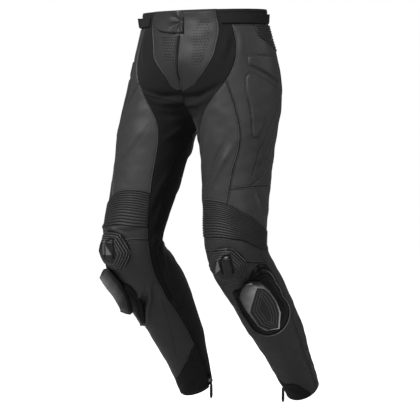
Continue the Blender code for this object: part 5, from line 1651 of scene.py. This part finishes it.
# ---------------------------------------------------------------- stitching

STITCH_SIZE, STITCH_SHIFT = (0.0030, 0.0009, 0.0007), 2.2


def evenly(path, out, pitch):
    """Places, directions and normals at an even pitch along a line of points."""
    length = np.concatenate([[0.0], np.cumsum(np.linalg.norm(np.diff(path, axis=0), axis=1))])
    count = int(length[-1] / pitch)
    places = (np.arange(count) + 0.5) * length[-1] / max(count, 1)

    def at(values, where):
        return np.stack([np.interp(where, length, values[:, k]) for k in range(3)], axis=1)

    along = unit(at(path, places + pitch / 2) - at(path, places - pitch / 2))
    normal = at(out, places)
    return at(path, places), along, unit(normal - (normal * along).sum(1)[:, None] * along)


def repeated(name, point, along, normal, corners, faces, smooth=True):
    """One small body set at every place of a line, as one mesh; its corners in metres."""
    frames = np.stack([along, np.cross(normal, along), normal], axis=1)
    points = point[:, None] + corners @ frames
    every = np.array(faces) + len(corners) * np.arange(len(point))[:, None, None]
    return mesh_object(name, points.reshape(-1, 3), every.reshape(-1, every.shape[2]).tolist(),
                       smooth=smooth)


def stitching(half, pitch):
    """Stitches along the panels' edges and the sewn grooves: beads pointed at their two ends."""
    lines = list(THREADS[half.leg.name])
    for _, _, stitched, *path in GROOVES:
        if not stitched:
            continue
        station, middle = rounded_path(path, 60).T
        for bearing in (middle - STITCH_SHIFT, middle + STITCH_SHIFT):
            lift = (fold_lift(station, bearing) + crease_lift(half.leg, station, bearing)
                    + groove_lift(station, bearing) + waviness(half.leg, station, bearing))
            lines.append(half.at(station, bearing, lift))
    places = [np.concatenate(x) for x in zip(*(evenly(*line, pitch) for line in lines))]
    turns = np.linspace(0.0, 2.0 * np.pi, 6, endpoint=False)
    ring = [(x, np.cos(t) * 0.5, np.sin(t) * 0.5) for x in (-0.28, 0.28) for t in turns]
    corners = np.array([(-0.5, 0.0, -0.35), *ring, (0.5, 0.0, -0.35)]) * STITCH_SIZE
    faces = []
    for i in range(6):
        j = (i + 1) % 6
        faces += [(0, 1 + j, 1 + i), (1 + i, 1 + j, 7 + j), (1 + i, 7 + j, 7 + i),
                  (7 + i, 7 + j, 13)]
    settle(repeated(f"stitching_{half.leg.name}", *places, corners, faces), "thread")


# ---------------------------------------------------------------- settings and operators


def length(name, text, default, low, high):
    """A setting in metres."""
    return bpy.props.FloatProperty(name=name, description=text, default=default, min=low,
                                   max=high, unit="LENGTH")


def tone(name, text, default):
    """A colour setting."""
    return bpy.props.FloatVectorProperty(name=name, description=text, default=default, min=0.0,
                                         max=1.0, subtype="COLOR")


class TrousersSettings(bpy.types.PropertyGroup):
    """Sizes and colours of the trousers."""

    leather_wall: length("Leather thickness", "Thickness of a leather panel",
                         0.0016, 0.001, 0.003)
    stretch_wall: length("Fabric thickness", "Thickness of a stretch panel",
                         0.0014, 0.001, 0.003)
    rib_height: length("Rib height", "Height of a padded rib", 0.0026, 0.0, 0.005)
    stitch_pitch: length("Stitch pitch", "Distance from stitch to stitch", 0.0042, 0.002, 0.01)
    leather_colour: tone("Leather colour", "Colour of the leather", (0.0250, 0.0250, 0.0255))
    stretch_colour: tone("Fabric colour", "Colour of the stretch fabric",
                         (0.0096, 0.0096, 0.0098))


class TROUSERS_OT_flat_panels(bpy.types.Operator):
    """Make the flat-cut leather and stretch panels of both legs"""

    bl_idname = "trousers.flat_panels"
    bl_label = "Flat panels"

    def execute(self, context):
        settings = context.scene.trousers
        for half in HALVES:
            for cut in flat_panels(half):
                wall = settings.leather_wall if cut.finish == "leather" else settings.stretch_wall
                settle(cloth(half, cut, wall), cut.finish, nodes=[f"{cut.name}_{half.leg.name}"])
        return {"FINISHED"}


class TROUSERS_OT_ribbed_panels(bpy.types.Operator):
    """Make the ribbed panels over the knees and over the back of the hips"""

    bl_idname = "trousers.ribbed_panels"
    bl_label = "Ribbed panels"

    def execute(self, context):
        for half in HALVES:
            ribbed_panels(half, context.scene.trousers.leather_wall)
        return {"FINISHED"}


class TROUSERS_OT_waist(bpy.types.Operator):
    """Make the waistband, its straps, the tab and the fly"""

    bl_idname = "trousers.waist"
    bl_label = "Waist"

    def execute(self, context):
        waistband(context.scene.trousers.leather_wall)
        fly_zip()
        waist_tab()
        for half in HALVES:
            waist_strap(half)
        return {"FINISHED"}


class TROUSERS_OT_hem_zips(bpy.types.Operator):
    """Make the zip tapes and teeth at the hems, and finish the sliders and pulls"""

    bl_idname = "trousers.hem_zips"
    bl_label = "Hem zips"

    def execute(self, context):
        for half in HALVES:
            hem_zip(half)
            zip_pull(half)
            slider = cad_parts[f"zip_slider_{half.leg.name}"]
            slider.data.materials.clear()
            slider.data.materials.append(metal())
        return {"FINISHED"}


class TROUSERS_OT_armour(bpy.types.Operator):
    """Make the knee cups, the slider bases and the slider pucks"""

    bl_idname = "trousers.armour"
    bl_label = "Knee armour"

    def execute(self, context):
        for half in HALVES:
            knee_cup(half)
            slider_base(half)
            slider_puck(half)
        return {"FINISHED"}


class TROUSERS_OT_stitching(bpy.types.Operator):
    """Make the stitching along the panels' edges and the sewn grooves"""

    bl_idname = "trousers.stitching"
    bl_label = "Stitching"

    def execute(self, context):
        for half in HALVES:
            stitching(half, context.scene.trousers.stitch_pitch)
        return {"FINISHED"}


# The photograph's camera: bearing, distance, height, shift to the right, view across.
CAMERA_AZIMUTH, CAMERA_FAR, CAMERA_HEIGHT, CAMERA_RIGHT, VIEW_WIDTH = 30, 4.0, -0.4875, 0.0145, 1.05
SENSOR = 36.0
FLOOR_HEIGHT, FLOOR_REACH, FLOOR_GREY, WORLD_LIGHT, AIM_HEIGHT = -1.030, 14.0, 0.50, 0.13, -0.45
# Soft lights: name, bearing from the camera, height, distance, power, width, height of the box.
SOFTBOXES = (("key", -46.0, 2.2, 2.5, 132.0, 1.0, 1.2), ("rim", 82.0, 1.0, 2.4, 12.0, 0.7, 2.0),
             ("front", 8.0, 0.4, 3.4, 22.0, 1.2, 1.2), ("back", 180.0, 1.6, 2.8, 40.0, 1.8, 1.8))


def softbox(name, turn, height, far, power, width, tall):
    """An area light aimed at the trousers from a bearing round them."""
    turn = np.radians(CAMERA_AZIMUTH + turn)
    spot = np.array([np.sin(turn) * far, -np.cos(turn) * far, height])
    light = bpy.data.objects.new(name, bpy.data.lights.new(name, "AREA"))
    light.data.shape, light.data.energy = "RECTANGLE", power
    light.data.size, light.data.size_y = width, tall
    light.location = spot
    light.rotation_euler = (np.arctan2(np.hypot(spot[0], spot[1]), height - AIM_HEIGHT), 0.0,
                            np.arctan2(spot[1], spot[0]) + np.pi / 2.0)
    bpy.context.scene.collection.objects.link(light)


class TROUSERS_OT_studio(bpy.types.Operator):
    """Make the pale floor, the white background, the soft lights and the camera"""

    bl_idname = "trousers.studio"
    bl_label = "Studio"

    def execute(self, context):
        scene = context.scene
        scene.view_settings.view_transform = "Standard"
        a = np.radians(CAMERA_AZIMUTH)
        right, away = np.array([np.cos(a), np.sin(a)]), np.array([-np.sin(a), np.cos(a)])
        eye = right * CAMERA_RIGHT - away * CAMERA_FAR
        camera = bpy.data.objects.new("camera", bpy.data.cameras.new("camera"))
        camera.data.sensor_width = SENSOR
        camera.data.lens = SENSOR * CAMERA_FAR / VIEW_WIDTH
        camera.location = (eye[0], eye[1], CAMERA_HEIGHT)
        camera.rotation_euler = (np.pi / 2.0, 0.0, a)
        camera.data.clip_end = 60.0
        scene.collection.objects.link(camera)
        scene.camera = camera

        corners = [(x * FLOOR_REACH, y * FLOOR_REACH, FLOOR_HEIGHT)
                   for x, y in ((-1, -1), (1, -1), (1, 1), (-1, 1))]
        floor = mesh_object("floor", corners, [(0, 1, 2, 3)], smooth=False)
        paint, shader, tree = start_material("Pale floor", 0.9)
        shader.inputs["Base Color"].default_value = (FLOOR_GREY, FLOOR_GREY, FLOOR_GREY, 1.0)
        shader.inputs["Emission Color"].default_value = (1.0, 1.0, 1.0, 1.0)
        glow = node(tree, "ShaderNodeLightPath").outputs["Is Camera Ray"]
        tree.links.new(glow, shader.inputs["Emission Strength"])
        floor.data.materials.append(paint)

        scene.world = bpy.data.worlds.new("studio")
        scene.world.use_nodes = True
        tree = scene.world.node_tree
        seen = node(tree, "ShaderNodeLightPath").outputs["Is Camera Ray"]
        strength = node(tree, "ShaderNodeMapRange", i0=seen, i3=WORLD_LIGHT, i4=1.0)
        tree.nodes["Background"].inputs[0].default_value = (1.0, 1.0, 1.0, 1.0)
        tree.links.new(strength.outputs[0], tree.nodes["Background"].inputs[1])
        for box in SOFTBOXES:
            softbox(*box)
        return {"FINISHED"}


class TROUSERS_PT_panel(bpy.types.Panel):
    """Sidebar panel with the settings and the steps"""

    bl_idname = "TROUSERS_PT_panel"
    bl_label = "Motorcycle trousers"
    bl_space_type = "VIEW_3D"
    bl_region_type = "UI"
    bl_category = "Trousers"

    def draw(self, context):
        for key in TrousersSettings.__annotations__:
            self.layout.prop(context.scene.trousers, key)
        for step in STEPS:
            self.layout.operator(step.bl_idname)


STEPS = (TROUSERS_OT_studio, TROUSERS_OT_flat_panels, TROUSERS_OT_ribbed_panels,
         TROUSERS_OT_waist, TROUSERS_OT_hem_zips, TROUSERS_OT_armour, TROUSERS_OT_stitching)
CLASSES = (TrousersSettings, *STEPS, TROUSERS_PT_panel)


def register():
    """Register the settings, the steps and the panel."""
    for item in CLASSES:
        bpy.utils.register_class(item)
    bpy.types.Scene.trousers = bpy.props.PointerProperty(type=TrousersSettings)


def unregister():
    """Take away what register added."""
    del bpy.types.Scene.trousers
    for item in reversed(CLASSES):
        bpy.utils.unregister_class(item)


def main():
    """Run every step."""
    register()
    bpy.ops.trousers.studio()
    bpy.ops.trousers.flat_panels()
    bpy.ops.trousers.ribbed_panels()
    bpy.ops.trousers.waist()
    bpy.ops.trousers.hem_zips()
    bpy.ops.trousers.armour()
    bpy.ops.trousers.stitching()


if __name__ == "__main__":
    main()
